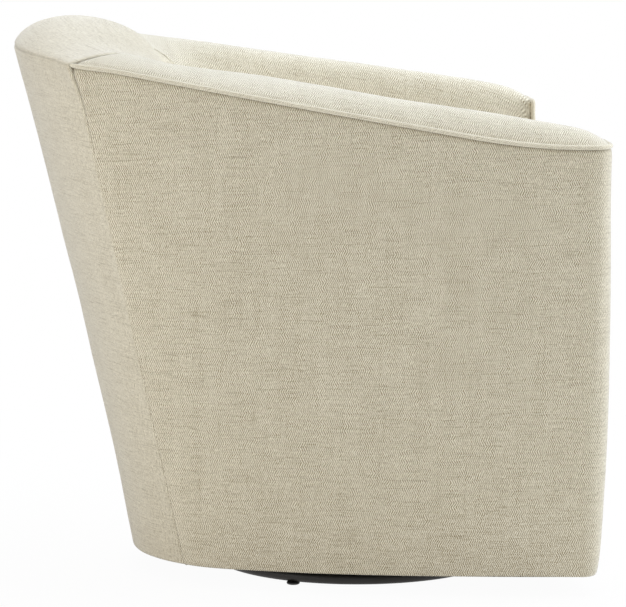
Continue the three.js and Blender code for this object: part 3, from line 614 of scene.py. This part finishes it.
def plain_coat(name, colour, other, rough, scale):
    """A pebbled or fibrous skin: powder coat, moulded plastic, felt."""
    s = Shader(name, Specular_IOR_Level=0.4)
    where = s.node("TexCoord", output=3)
    grain = s.noise(where, scale, 3.0, 0.6)
    wear = s.ramp(s.noise(where, 30.0, 4.0), 0.5, 0.8)
    tone = s.mix(s.add(s.times(grain, 0.45), s.times(wear, 0.4)), colour, other)
    return s.finish(tone, s.add(rough, s.times(wear, 0.15)), grain, 0.0003, 0.5)


MATERIALS = {
    "linen": linen("linen_weave"),
    # Painted light: a lighter, whiter copy of the linen with less contrast, for the lit arm tops
    # and inner arms.
    "linen_painted_lit": linen("linen_weave_painted_lit", contrast=0.82, painted_light_lift=0.02, bright=(249, 243, 225)),
    # The piping is the same cloth cut on the bias with less pattern, painted lighter for the light
    # on the welts' rounded tops.
    "piping": linen("piping_weave", radians(45), 0.5, 0.14),
    "black_cloth": plain_coat("dust_cloth", srgb(34, 31, 27), srgb(62, 57, 50), 0.85, 900.0),
    "hardwood": wood("hardwood_grain", srgb(205, 170, 122), srgb(160, 118, 74), (60, 60, 5)),
    "plywood": wood("plywood_face", srgb(218, 188, 142), srgb(182, 142, 94), (9, 90, 90), 0.0026),
    "black_steel": plain_coat("powder_coat", srgb(23, 20, 16), srgb(44, 39, 32), 0.5, 700.0),
    "zinc_steel": metal("zinc_plate", srgb(190, 190, 186), srgb(140, 140, 136), 0.28),
    "spring_steel": metal("spring_wire", srgb(118, 122, 126), srgb(70, 70, 70), 0.35),
    "black_plastic": plain_coat("glide_plastic", srgb(28, 27, 25), srgb(46, 44, 41), 0.5, 400.0),
}


def dress(piece, finish, *nodes, body="chair", fill=None, surface=None):
    """Gives a piece its cloth or coat, its body, and the nodes it stands for."""
    piece.data.materials.append(MATERIALS[surface or finish])
    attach(piece, body)
    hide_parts(*nodes)


# ------------ outside covers
def cover_inward(part, share):
    """The way in from a cover's surface. At the back seam both covers take the same one."""
    outward = top.outward(part, share)
    if (part, share) not in (("back", 1), ("side", 0)):
        return -outward
    inward = Section(part, share).inward
    return inward / -(inward @ outward)


def side_stations(corner_steps):
    """From the back seam round the front corner: part, share and distance. Also the side's last."""
    side, corner = top.walk("side"), top.walk("corner")
    runs = spaced(side, SIDE_STEP, tail=False)
    rows = [("side", share, run) for run, share in zip(runs, top.walk("side", runs))]
    rows += [("corner", share, side + share * corner)
             for share in np.linspace(0, 1, corner_steps + 1)[1:]]
    return rows, len(runs) - 1


def back_stations():
    """Across the back, from the right seam to the left: hand, share of that half and distance."""
    half = top.walk("back")
    runs = spaced(2 * half, BACK_STEP)
    shares = top.walk("back", np.abs(runs - half))
    return [(-1 if run < half else 1, share, run) for run, share in zip(runs, shares)]


def raised(name, outer, inner, amount, origin, hand=1, shaded=True):
    """A closed cover from its outer points, moved out by an amount each, and the points behind.

    Shaded, it paints shade on the cloth where it runs down into a seam, darker the deeper it lies.
    """
    grid = relieved(outer, amount, inner.mean(axis=1))
    piece = loft(name, hand_of(np.concatenate([grid, inner], axis=1), hand), origin=origin)
    if shaded:
        # Painted shade: the deeper the cloth is drawn into a seam, the darker it is painted.
        deep = np.clip((-amount - 0.9) / 2.8, 0, 1)
        seam_shade = piece.data.attributes.new("seam", "FLOAT", "POINT")
        seam_shade.data.foreach_set("value", np.pad(deep, ((0, 0), (0, inner.shape[1]))).ravel())
    return piece


def cover(name, stations, trim, seams, origin, seed, uneven, hand=1, extra=None):
    """A padded cover. Its stations give part, share, distance, a shift sideways, and the hand.

    trim is how far it stops below the welt's line, seams how deep it rolls in, uneven its ripples.
    """
    rise_shares = spaced(600, RISE_STEP) / 600
    columns = []
    for part, share, run, sideways, own_hand in stations:
        height = welt_z(part, share) - trim
        rise = rise_shares * (height - HEM_Z)
        outward, inward = top.outward(part, share), cover_inward(part, share)
        shift = np.array([outward[1], -outward[0]]) * sideways
        outer = [[*(outer_point(part, share, HEM_Z + t) + shift), HEM_Z + t] for t in rise]
        inner = [[*(outer_point(part, share, z) + shift + inward * COVER), z]
                 for z in np.linspace(height, HEM_Z, 6)]
        columns.append((hand_of(outer, own_hand), hand_of(inner, own_hand), rise,
                        height - HEM_Z - rise, np.full(len(rise), run)))
    outer, inner, up, down, runs = (np.array(column) for column in zip(*columns))
    left = runs.max() - runs
    amount = ripples(outer, seed, *uneven)
    amount *= faded(np.minimum(runs, left), CALM) * faded(down, CALM_TOP)
    amount -= tuck(up, *HEM_TUCK) + seams(runs, left, down)
    if extra:
        amount += extra(runs, up)
    return raised(name, outer, inner, amount, origin, hand)


def corner_seam(near, down, gather_step):
    """How deep a cover lies at the back seam: deepest at the welt, with small gathers."""
    grip = (1 - np.clip(down / GRIP_HEIGHT, 0, 1)) ** 2
    gather = 0.35 * np.sin(down / gather_step) * np.exp(-near / 9) * np.exp(-down / 35)
    return tuck(near, SEAM_REACH * (1 + grip), SEAM_DEPTH + GRIP_DEPTH * grip) + gather


def side_seams(from_seam, from_front, down):
    held = 0.45 + 0.55 * np.clip((from_front - 30) / 40, 0, 1)
    return (corner_seam(from_seam, down, 3.1) + tuck(from_front, *FRONT_TUCK)
            + tuck(down, *WELT_TUCK) * held)


def back_seams(from_right, from_left, down):
    return (corner_seam(np.minimum(from_right, from_left), down, 3.3)
            + tuck(down, *BACK_WELT_TUCK))


def old_crease(runs, up):
    """A short pinch low down beside the back corner, as a used cover has."""
    height = ((up - 101) / 11) ** 2
    return (-0.9 * np.exp(-((runs - 11) / 2.2) ** 2 - height)
            + 0.5 * np.exp(-((runs - 16) / 3) ** 2 - height))


def outside_arm(side_name, hand):
    rows, side_last = side_stations(14)
    stations = [(*row, 0.3 if row[2] == 0 else 0.0, 1) for row in rows]
    last = spaced(top.walk("front") - WELT_INSET, SIDE_STEP, head=False)[1:]
    stations += [("front", share, rows[-1][2] + run, 0.0, 1)
                 for run, share in zip(last, top.walk("front", last))]
    piece = cover(f"side_cover_{side_name}", stations, 1.0, side_seams, side_last, 2 + hand,
                  (1.1, 0.22), hand, old_crease if hand < 0 else None)
    dress(piece, "linen", f"outside_arm_{side_name}", fill=0.9)


def outside_back():
    stations = [("back", share, run, 0.0, hand) for hand, share, run in back_stations()]
    piece = cover("back_cover", stations, 0.3, back_seams, len(stations) // 2, 5, (1.2, 0.2))
    dress(piece, "linen", "outside_back", fill=0.9)


# ------------ rolled tops and inside covers
def arm_point(section, reach, z, base):
    """Low points of the end stations stop behind the front strip."""
    point = section.place(reach, z)
    if section.part == "corner":
        rear, front = TOP["corner"] - TOP["front"], WELT_INSET - TOP["front"]
        behind_strip = COVER + 0.6 + front_y(min(z, base))
        limit = lerp(front, behind_strip, smooth(base - z, 0, 18))
        point[1] = rear + (point[1] - rear) * (limit - rear) / (front - rear)
    return point


def closed_end(profile, section):
    """The roll sinks to the welt towards the arm's front end."""
    behind = section.start[1] + TOP["front"] - WELT_INSET
    low = section.seam + 0.8
    share = sqrt(1 - (1 - clamp(behind / END_ROUNDING)) ** 2)
    return [[r, z if z < low else lerp(low, z, share)] for r, z in profile]


def fading(around):
    """How much of the seam between crown and arm is left, from the outer seam inwards."""
    return 0.3 + 0.7 * np.clip(1 - (around - 50) / 50, 0, 1)


def seam_pulls(near, around, step, centre, width):
    """Small pulls across the seam between crown and arm, most of them near its outer end."""
    place = np.exp(-near / 10) * np.exp(-((around - centre) / width) ** 2)
    return 0.3 * np.sin(around / step) * place


def arm_cover(side_name, hand):
    """The rolled arm top and the inside arm, in one piece of cloth."""
    stations, side_last = side_stations(18)
    side, total = top.walk("side"), stations[-1][2]
    outer, inner = [], []
    for part, share, _ in stations:
        section = Section(part, share, WELT_INSET)
        base = section.seam - WELT_R
        lead = [[0, base], [0, lerp(base, section.seam, 0.5)]]
        near_crown = 1 - smooth(share, 0, 0.5) if part == "side" else 0
        profile = closed_end(section.profile(lerp(26, 40, near_crown), lead), section)
        outer.append([arm_point(section, r, z, base) for r, z in profile])
        foot, head = profile[-1][0], base - 2
        high = section.reach(head)
        back = [[foot - ARM_PAD, PAD_Z], [(foot + high) / 2 - ARM_PAD, (PAD_Z + head) / 2],
                [high - ARM_PAD, head], [min(3, high - ARM_PAD), head]]
        inner.append([arm_point(section, r, z, base) for r, z in back])
    outer, inner = np.array(outer), np.array(inner)
    run = spread([distance for *_, distance in stations], outer)
    around = run_along(outer, 1)
    amount = ripples(outer, 7 + hand, 1.0, 0.18)
    amount *= faded(around, CALM) * faded(run, CALM_TOP)
    amount -= tuck(run, *CROWN_END_TUCK) * fading(around)
    amount -= tuck(total - run, *ARM_END_TUCK) * faded(around, 14)
    amount -= tuck(around, *CROWN_EDGE_TUCK) * faded(run, 10) * np.clip((side - run) / 40, 0, 1)
    amount -= seam_pulls(run, around, 3.2, 20, 30)
    piece = raised(f"arm_cover_{side_name}", outer, inner, amount, side_last, hand)
    # The arm cover takes the lighter copy of the linen, painted light for its lit faces.
    dress(piece, "linen", f"arm_band_{side_name}", f"inside_arm_{side_name}", fill=0.85,
          surface="linen_painted_lit")


def inside_back():
    """The crown and the inside back, in one piece of cloth."""
    stations = back_stations()
    outer, inner = [], []
    for hand, share, _ in stations:
        section = Section("back", share)
        profile = section.profile(40)
        head = min(section.slope(section.seam) - BACK_PAD, section.reach(section.seam) - ARM_PAD)
        back = [[profile[-1][0] - BACK_PAD, PAD_Z], [section.slope(500) - BACK_PAD, 500],
                [head, section.seam]]
        outer.append(hand_of([section.place(r, z) for r, z in profile], hand))
        inner.append(hand_of([section.place(r, z) for r, z in back], hand))
    outer, inner = np.array(outer), np.array(inner)
    run = spread([distance for *_, distance in stations], outer)
    near = np.minimum(run, run.max() - run)
    around = run_along(outer, 1)
    amount = ripples(outer, 11, 1.5, 0.2) * faded(around, CALM) * faded(near, CALM)
    amount -= tuck(near, *CROWN_TUCK) * fading(around) + tuck(around, *BACK_WELT_TUCK)
    amount -= seam_pulls(near, around, 3.4, 25, 40)
    piece = raised("inside_back_cover", outer, inner, amount, len(stations) // 2)
    dress(piece, "linen", "inside_back", fill=0.8)


# ------------ piping
def arm_piping(side_name, hand):
    """Along the arm, round the front corner, then down the inner front edge to the hem."""
    path = []
    for part, count in (("side", 160), ("corner", 16), ("front", 8)):
        shares = np.linspace(0, 1, count + 1)[(0 if part == "side" else 1):]
        for share in shares:
            sunk = WELT_SINK * (smooth(share, 0.93, 1) if part == "side" else 1)
            x, y = top.at(part, share) - top.outward(part, share) * sunk
            path.append([x, y, welt_z(part, share)])
    bend, ahead = EDGE_BEND, 7 - TOP["front"]
    path = [p for p in path[:-1] if p[0] >= HOLLOW_HALF + bend + 0.5 or p[1] >= ahead]
    path += [[HOLLOW_HALF + bend - bend * sin(a), WELT_SINK - TOP["front"],
              WELT_FRONT_Z - bend + bend * cos(a)] for a in np.linspace(0, pi / 2, 7)]
    path += [[HOLLOW_HALF, WELT_SINK * smooth(z, EDGE_LOW, EDGE_HIGH) + front_y(z), z]
             for z in np.linspace(EDGE_HIGH, HEM_Z + 3, 90)]
    path = np.array(path, float)
    path = resampled(path, int(run_along(path)[-1] / PIPING_STEP) + 1)
    radius = np.full(len(path), WELT_R - 0.1)
    radius[:4] = [1.2, 2.2, 2.8, 3.1]
    radius[-2:] = [3.0, 2.2]
    radius += 0.1 * np.sin(np.arange(len(path)) * 0.9) * np.sin(np.arange(len(path)) * 0.37)
    path[0] += (path[1] - path[0]) * 0.2
    rings = hand_of(tube_rings(path, radius), hand)
    dress(loft(f"piping_{side_name}", rings), "piping", f"arm_welt_{side_name}")


# ------------ front panel, deck, seat cushion
def front_panel():
    half = HOLLOW_HALF - WELT_INSET + 1.5
    xs = spaced(2 * half, PANEL_STEP) - half
    rise = spaced(PANEL_HEIGHT, RISE_STEP)
    behind = np.linspace(HEM_Z + PANEL_HEIGHT, HEM_Z, 5)
    outer = np.array([[[x, 3 + front_y(HEM_Z + t), HEM_Z + t] for t in rise] for x in xs])
    inner = np.array([[[x, 3 + FRONT_COVER + front_y(z), z] for z in behind] for x in xs])
    side, up = spread(half - np.abs(xs), outer), spread(rise, outer, 0)
    down = PANEL_HEIGHT - up
    amount = ripples(outer, 15, 1.0, 0.2) + 2.0 * faded(side, 60) * faded(down, 60)
    amount -= tuck(side, *PANEL_SIDE_TUCK) + tuck(up, *HEM_TUCK) + tuck(down, *PANEL_TOP_TUCK)
    piece = raised("front_panel", outer, inner, amount, len(xs) // 2, shaded=False)
    dress(piece, "linen", "front_cover", fill=0.9)


def hollow_half(z, inset):
    """Half the hollow's outline at a height, from the back's middle to the arm's front end."""
    sections = [Section(*station) for station in WALL]
    return [s.start + s.inward * (s.slope(z) + inset / s.skew) for s in sections]


def closed_outline(half, front, draw_in=0.0):
    """A whole outline from its half and a front edge, which bows in a little in the middle."""
    side = half[-1][0]
    edge = [[side * s, front + draw_in * (1 - s * s)] for s in np.linspace(1, 0, 31)]
    right = [list(p) for p in half] + edge
    left = [[-x, y] for x, y in reversed(right) if x > 0.01]
    return resampled(np.array(right + left + right[:1]), OUTLINE_POINTS + 1)[:-1]


def grown(outline, distance):
    """An outline moved outwards."""
    along = np.roll(outline, -1, axis=0) - np.roll(outline, 1, axis=0)
    along /= np.linalg.norm(along, axis=1, keepdims=True)
    return outline + distance * np.stack([-along[:, 1], along[:, 0]], axis=1)


def levels(outline, steps):
    """Rings of an outline. Each step is a share of the way out, an outset and a height."""
    centre = (outline.min(axis=0) + outline.max(axis=0)) / 2
    rings = []
    for share, outset, z in steps:
        flat = centre + (grown(outline, outset) - centre) * share
        rings.append(np.column_stack([flat, np.full(len(flat), z)]))
    return rings


def top_uvs(piece):
    """Cloth coordinates after meshing: flat on top and below, round the sides elsewhere."""
    mesh = piece.data
    layer = mesh.uv_layers.get("weave") or mesh.uv_layers.new(name="weave")
    for face in mesh.polygons:
        x, y, z = map(abs, face.normal)
        a, b = (0, 1) if z > LEVEL_FACE else (0, 2) if y > x else (1, 2)
        for corner in face.loop_indices:
            p = mesh.vertices[mesh.loops[corner].vertex_index].co
            layer.data[corner].uv = (p[a], p[b])


def seat_deck():
    front = 3 + FRONT_COVER + 0.3 + front_y(DECK_Z)
    outline = closed_outline(hollow_half(DECK_Z, 0.8), front)
    steps = [(s, 0, DECK_Z) for s in (0.02, 0.5, 0.97)]
    steps += [(1, -1, DECK_Z + 1), (1, 0, DECK_Z + 4), (1, 0, DECK_TOP - 7), (1, -1, DECK_TOP - 3),
              (1, -4, DECK_TOP - 0.8), (0.96, 0, DECK_TOP)]
    steps += [(s, 0, DECK_TOP) for s in (0.85, 0.7, 0.5, 0.3, 0.1, 0.02)]
    piece = loft("deck_pad", levels(outline, steps))
    top_uvs(piece)
    dress(piece, "linen", "seat_deck", fill=0.7)


def cushion_outline(outset):
    """The cushion is cut to a smooth line, without the tub's corners at the seams."""
    front = 6 + front_y(CUSHION_Z)
    half = np.array(hollow_half(CUSHION_Z, 9))
    for _ in range(CUSHION_SMOOTHING):
        half[1:-1] += ((half[:-2] + half[2:]) / 2 - half[1:-1]) / 2
        half[0, 1] = half[1, 1]
    return grown(closed_outline(half, front, 5), outset)


def swollen(piece, seam_heights):
    """Cloth held at its seams and blown up a little from inside."""
    start = [v.co.copy() for v in piece.data.vertices]
    group = piece.vertex_groups.new(name="held")
    for v in piece.data.vertices:
        off = min(abs(v.co.z - z * MM) for z in seam_heights)
        if off < 0.7 * CUSHION_VOXEL and abs(v.normal.z) < 0.93:
            group.add([v.index], 1.0, "REPLACE")
    cloth = piece.modifiers.new("cloth", "CLOTH")
    settings = cloth.settings
    settings.use_pressure = True
    settings.uniform_pressure_force = 4
    settings.effector_weights.gravity = 0
    settings.vertex_group_mass = "held"
    cloth.collision_settings.use_collision = False
    for number in range(1, CUSHION_FRAMES + 1):
        bpy.context.scene.frame_set(number)
    moved = piece.evaluated_get(bpy.context.evaluated_depsgraph_get()).to_mesh()
    for v, first, now in zip(piece.data.vertices, start, moved.vertices):
        step = now.co - first
        if step.length > 1e-9:
            most = CUSHION_SWELL * tanh(step.length / CUSHION_SWELL)
            v.co = first + step * (most / step.length)
    piece.modifiers.remove(cloth)
    bpy.context.scene.frame_set(1)


def applied(piece, kind, **settings):
    """Adds a modifier and applies it."""
    bpy.ops.object.select_all(action="DESELECT")
    piece.select_set(True)
    bpy.context.view_layer.objects.active = piece
    modifier = piece.modifiers.new(kind.lower(), kind)
    for key, value in settings.items():
        setattr(modifier, key, value)
    bpy.ops.object.modifier_apply(modifier=modifier.name)


def seat_cushion():
    low, high = CUSHION_Z, CUSHION_TOP
    steps = [(s, 0, low) for s in (0.02, 0.5, 0.9)]
    steps += [(1, -2.5, low), (1, 0, low + 2), (1, 1, low + 30), (1, 1.5, low + 52),
              (1, 1, low + 74), (1, 0, high - 2), (1, -2.5, high)]
    steps += [(s, 0, high + 7 * (1 - s ** 4)) for s in (0.95, 0.85, 0.7, 0.5, 0.3, 0.12, 0.02)]
    piece = loft("seat_pad", levels(cushion_outline(0), steps))
    applied(piece, "REMESH", mode="VOXEL", voxel_size=CUSHION_VOXEL)
    swollen(piece, (low, high))
    for v in piece.data.vertices:
        v.co.z = max(v.co.z, low * MM)
    applied(piece, "SUBSURF", levels=1, render_levels=1)
    piece.data.shade_smooth()
    top_uvs(piece)
    dress(piece, "linen", "seat_cushion", fill=0.75)


def cushion_piping(edge, z):
    outline = cushion_outline(1.6)
    path = np.column_stack([outline, np.full(len(outline), z)])
    rings = tube_rings(path, CUSHION_WELT_R, 12, looped=True)
    piece = loft(f"cushion_piping_{edge}", rings, looped=True)
    dress(piece, "piping", f"cushion_welt_{edge}")


# ------------ underside and base
def dust_cloth():
    """Sags a little between the hem and the hole for the bearing."""
    half = [outer_point(*station, HEM_Z) + cover_inward(*station) * (COVER - 2)
            for station in WALL]
    outline = closed_outline(half, 3 + FRONT_COVER - 2 - HEM["front"])
    low, high = HEM_Z, HEM_Z + 0.8
    steps = [(0, low), (0.05, low - 0.3), (0.35, low - 1.3), (0.7, low - 1.0), (0.95, low - 0.2),
             (1, low + 0.2), (0.95, high), (0.5, high), (0.05, high), (0, high)]
    rim = DUST_HOLE_R * outline / np.linalg.norm(outline, axis=1, keepdims=True)
    rings = [np.column_stack([lerp(rim, outline, share), np.full(len(outline), z)])
             for share, z in steps]
    dress(loft("dust_cloth", rings, looped=True), "black_cloth", "dust_cover")


def ring_base():
    """The ring, its crossing bars with a weld bead on each side of an end, and the hub."""
    parts = [(tube_rings(circle(RING_R, RING_Z, 144), TUBE_R, 24, looped=True), True)]
    wide, narrow = BAR_HALF, BAR_HALF - BEVEL
    low, high = BAR_LOW + BEVEL, BAR_HIGH - BEVEL
    outline = [(-wide, low), (-narrow, BAR_LOW), (narrow, BAR_LOW), (wide, low),
               (wide, high), (narrow, BAR_HIGH), (-narrow, BAR_HIGH), (-wide, high)]
    for turn in BAR_TURNS:
        ahead = np.array([cos(turn), sin(turn), 0])
        across = np.array([-sin(turn), cos(turn), 0])
        parts.append(([[ahead * r + across * w + [0, 0, z] for w, z in outline]
                       for r in (14, 60, 120, 190)], False))
        for side in (-1, 1):
            bead = [ahead * (188.5 - 0.4 * w) + across * side * (BAR_HALF - 1 - w)
                    + [0, 0, BAR_HIGH + 0.2] for w in np.linspace(0, 9, 8)]
            parts.append((tube_rings(bead, [0.8, 1.6, 2, 1.8, 2, 1.7, 1.5, 0.6], 8), False))
    hub = ((HUB_HOLE, BAR_LOW), (HUB_R - BEVEL, BAR_LOW), (HUB_R, BAR_LOW + 0.6),
           (HUB_R, BAR_HIGH - 0.6), (HUB_R - BEVEL, BAR_HIGH), (HUB_HOLE, BAR_HIGH))
    parts.append(([circle(r, z, 48) for r, z in hub], True))
    dress(together("ring_frame", parts, 40), "black_steel", "base_ring", body="base")


def glides():
    profile = ((2, 0.02), (6, 0.02), (7.6, 0.25), (8.6, 1.0), (9, 2), (9, 3.1), (8.4, 3.7),
               (2, 3.7))
    for number, turn in enumerate(BAR_TURNS, 1):
        x, y = RING_R * cos(turn), RING_R * sin(turn)
        piece = loft(f"glide_{number}", [circle(r, z, 32, x, y) for r, z in profile], 35)
        dress(piece, "black_plastic", f"floor_glide_{number}", body="base")


for side_name, hand in (("left", 1), ("right", -1)):
    outside_arm(side_name, hand)
    arm_cover(side_name, hand)
    arm_piping(side_name, hand)
outside_back()
inside_back()
front_panel()
seat_deck()
seat_cushion()
cushion_piping("top", CUSHION_TOP)
cushion_piping("bottom", CUSHION_Z + CUSHION_WELT_R)
dust_cloth()
ring_base()
glides()

# Carried-over nodes get a fuller material by the slot that the record gives them.
KEPT = {
    "hardwood": ("front_post", "back_post", "front_foot_block", "back_foot_block",
                 "front_seat_rail", "arm_rail", "back_rail"),
    "plywood": ("floor_panel", "side_former", "back_former"),
    "zinc_steel": ("lower_bearing_plate", "center_rivet", "base_bolt", "ball_retainer",
                   "upper_bearing_plate", "plate_screw"),
    "spring_steel": ("seat_spring",),
}
for finish, stems in KEPT.items():
    for node_name, node in frame["nodes"].items():
        if node_name.startswith(stems):
            node.data.materials.clear()
            node.data.materials.append(MATERIALS[finish])


# ------------ floor, light and camera
FLOOR_HALF = 9.0
CAMERA_LENS = 248.87
CAMERA_PLACE = (-5.8819, 0.8350 + AXIS_Y, 1.2571)
CAMERA_AIM = (0, 0.0606 + AXIS_Y, 0.3609)
LAMPS = (  # name, place, aim, size, watts, colour
    ("overhead", (0.5, -0.7, 3.2), (0, 0, 0.4), (3.2, 3.2), 70, (0.84, 0.92, 1.0)),
    ("front_box", (-0.4, -3.4, 1.5), (0, 0, 0.45), (2.4, 2.4), 77, (0.87, 0.93, 1.0)),
    ("back_box", (-1.6, 3.4, 1.1), (0, 0, 0.45), (2.4, 2.0), 46, (1, 0.99, 0.97)),
    ("far_box", (3.4, -0.6, 2.3), (0, 0, 0.6), (3.0, 2.4), 42, (0.92, 0.96, 1.0)),
)


def make_floor():
    """White to the eye far away, and a little paint that keeps the shadow near the chair."""
    mesh = bpy.data.meshes.new("floor")
    far = FLOOR_HALF
    corners = [(-far, -far, 0), (far, -far, 0), (far, far, 0), (-far, far, 0)]
    mesh.from_pydata(corners, [], [(0, 1, 2, 3)])
    floor = linked("floor", mesh)
    s = Shader("floor_paint")
    paint = s.node("BsdfDiffuse", {"Color": (0.8, 0.8, 0.79, 1)})
    glow = s.node("Emission", {"Color": (1, 1, 1, 1), "Strength": 1.0})
    away = s.node("VectorMath", {0: s.node("TexCoord", output=3)}, output=1, operation="LENGTH")
    share = s.times(s.looked_at(), s.ramp(away, 0.5, 1.3, 0.96, 1.0))
    mixed = s.node("MixShader", {0: share, 1: paint, 2: glow})
    s.tree.links.new(mixed, s.tree.nodes["Material Output"].inputs["Surface"])
    s.tree.nodes.remove(s.surface)
    mesh.materials.append(s.material)


def make_world():
    """Soft light from everywhere, and white where the eye looks into it."""
    world = bpy.data.worlds.new("studio")
    world.use_nodes = True
    bpy.context.scene.world = world
    world.node_tree.nodes.clear()
    g = Graph(world.node_tree)
    soft = g.node("Background", {"Color": (1.0, 0.99, 0.97, 1), "Strength": 0.45})
    white = g.node("Background", {"Color": (1, 1, 1, 1), "Strength": 1.0})
    mixed = g.node("MixShader", {0: g.looked_at(), 1: soft, 2: white})
    out = g.tree.nodes.new("ShaderNodeOutputWorld")
    g.tree.links.new(mixed, out.inputs["Surface"])


def aimed(data, place, aim):
    """Puts a lamp or camera at a place, looking at another."""
    thing = linked(data.name, data)
    thing.location = place
    thing.rotation_euler = (Vector(aim) - Vector(place)).to_track_quat("-Z", "Y").to_euler()
    return thing


def area_light(name, place, aim, size, power, color):
    data = bpy.data.lights.new(name, "AREA")
    data.shape, data.size, data.size_y = "RECTANGLE", *size
    data.energy, data.color = power, color
    aimed(data, place, aim)


def make_camera():
    data = bpy.data.cameras.new("camera")
    data.lens, data.sensor_width, data.sensor_fit = CAMERA_LENS, 36.0, "HORIZONTAL"
    data.clip_start, data.clip_end = 0.1, 100
    bpy.context.scene.camera = aimed(data, CAMERA_PLACE, CAMERA_AIM)


make_floor()
make_world()
for lamp in LAMPS:
    area_light(*lamp)
make_camera()
bpy.context.scene.view_settings.view_transform = "Standard"
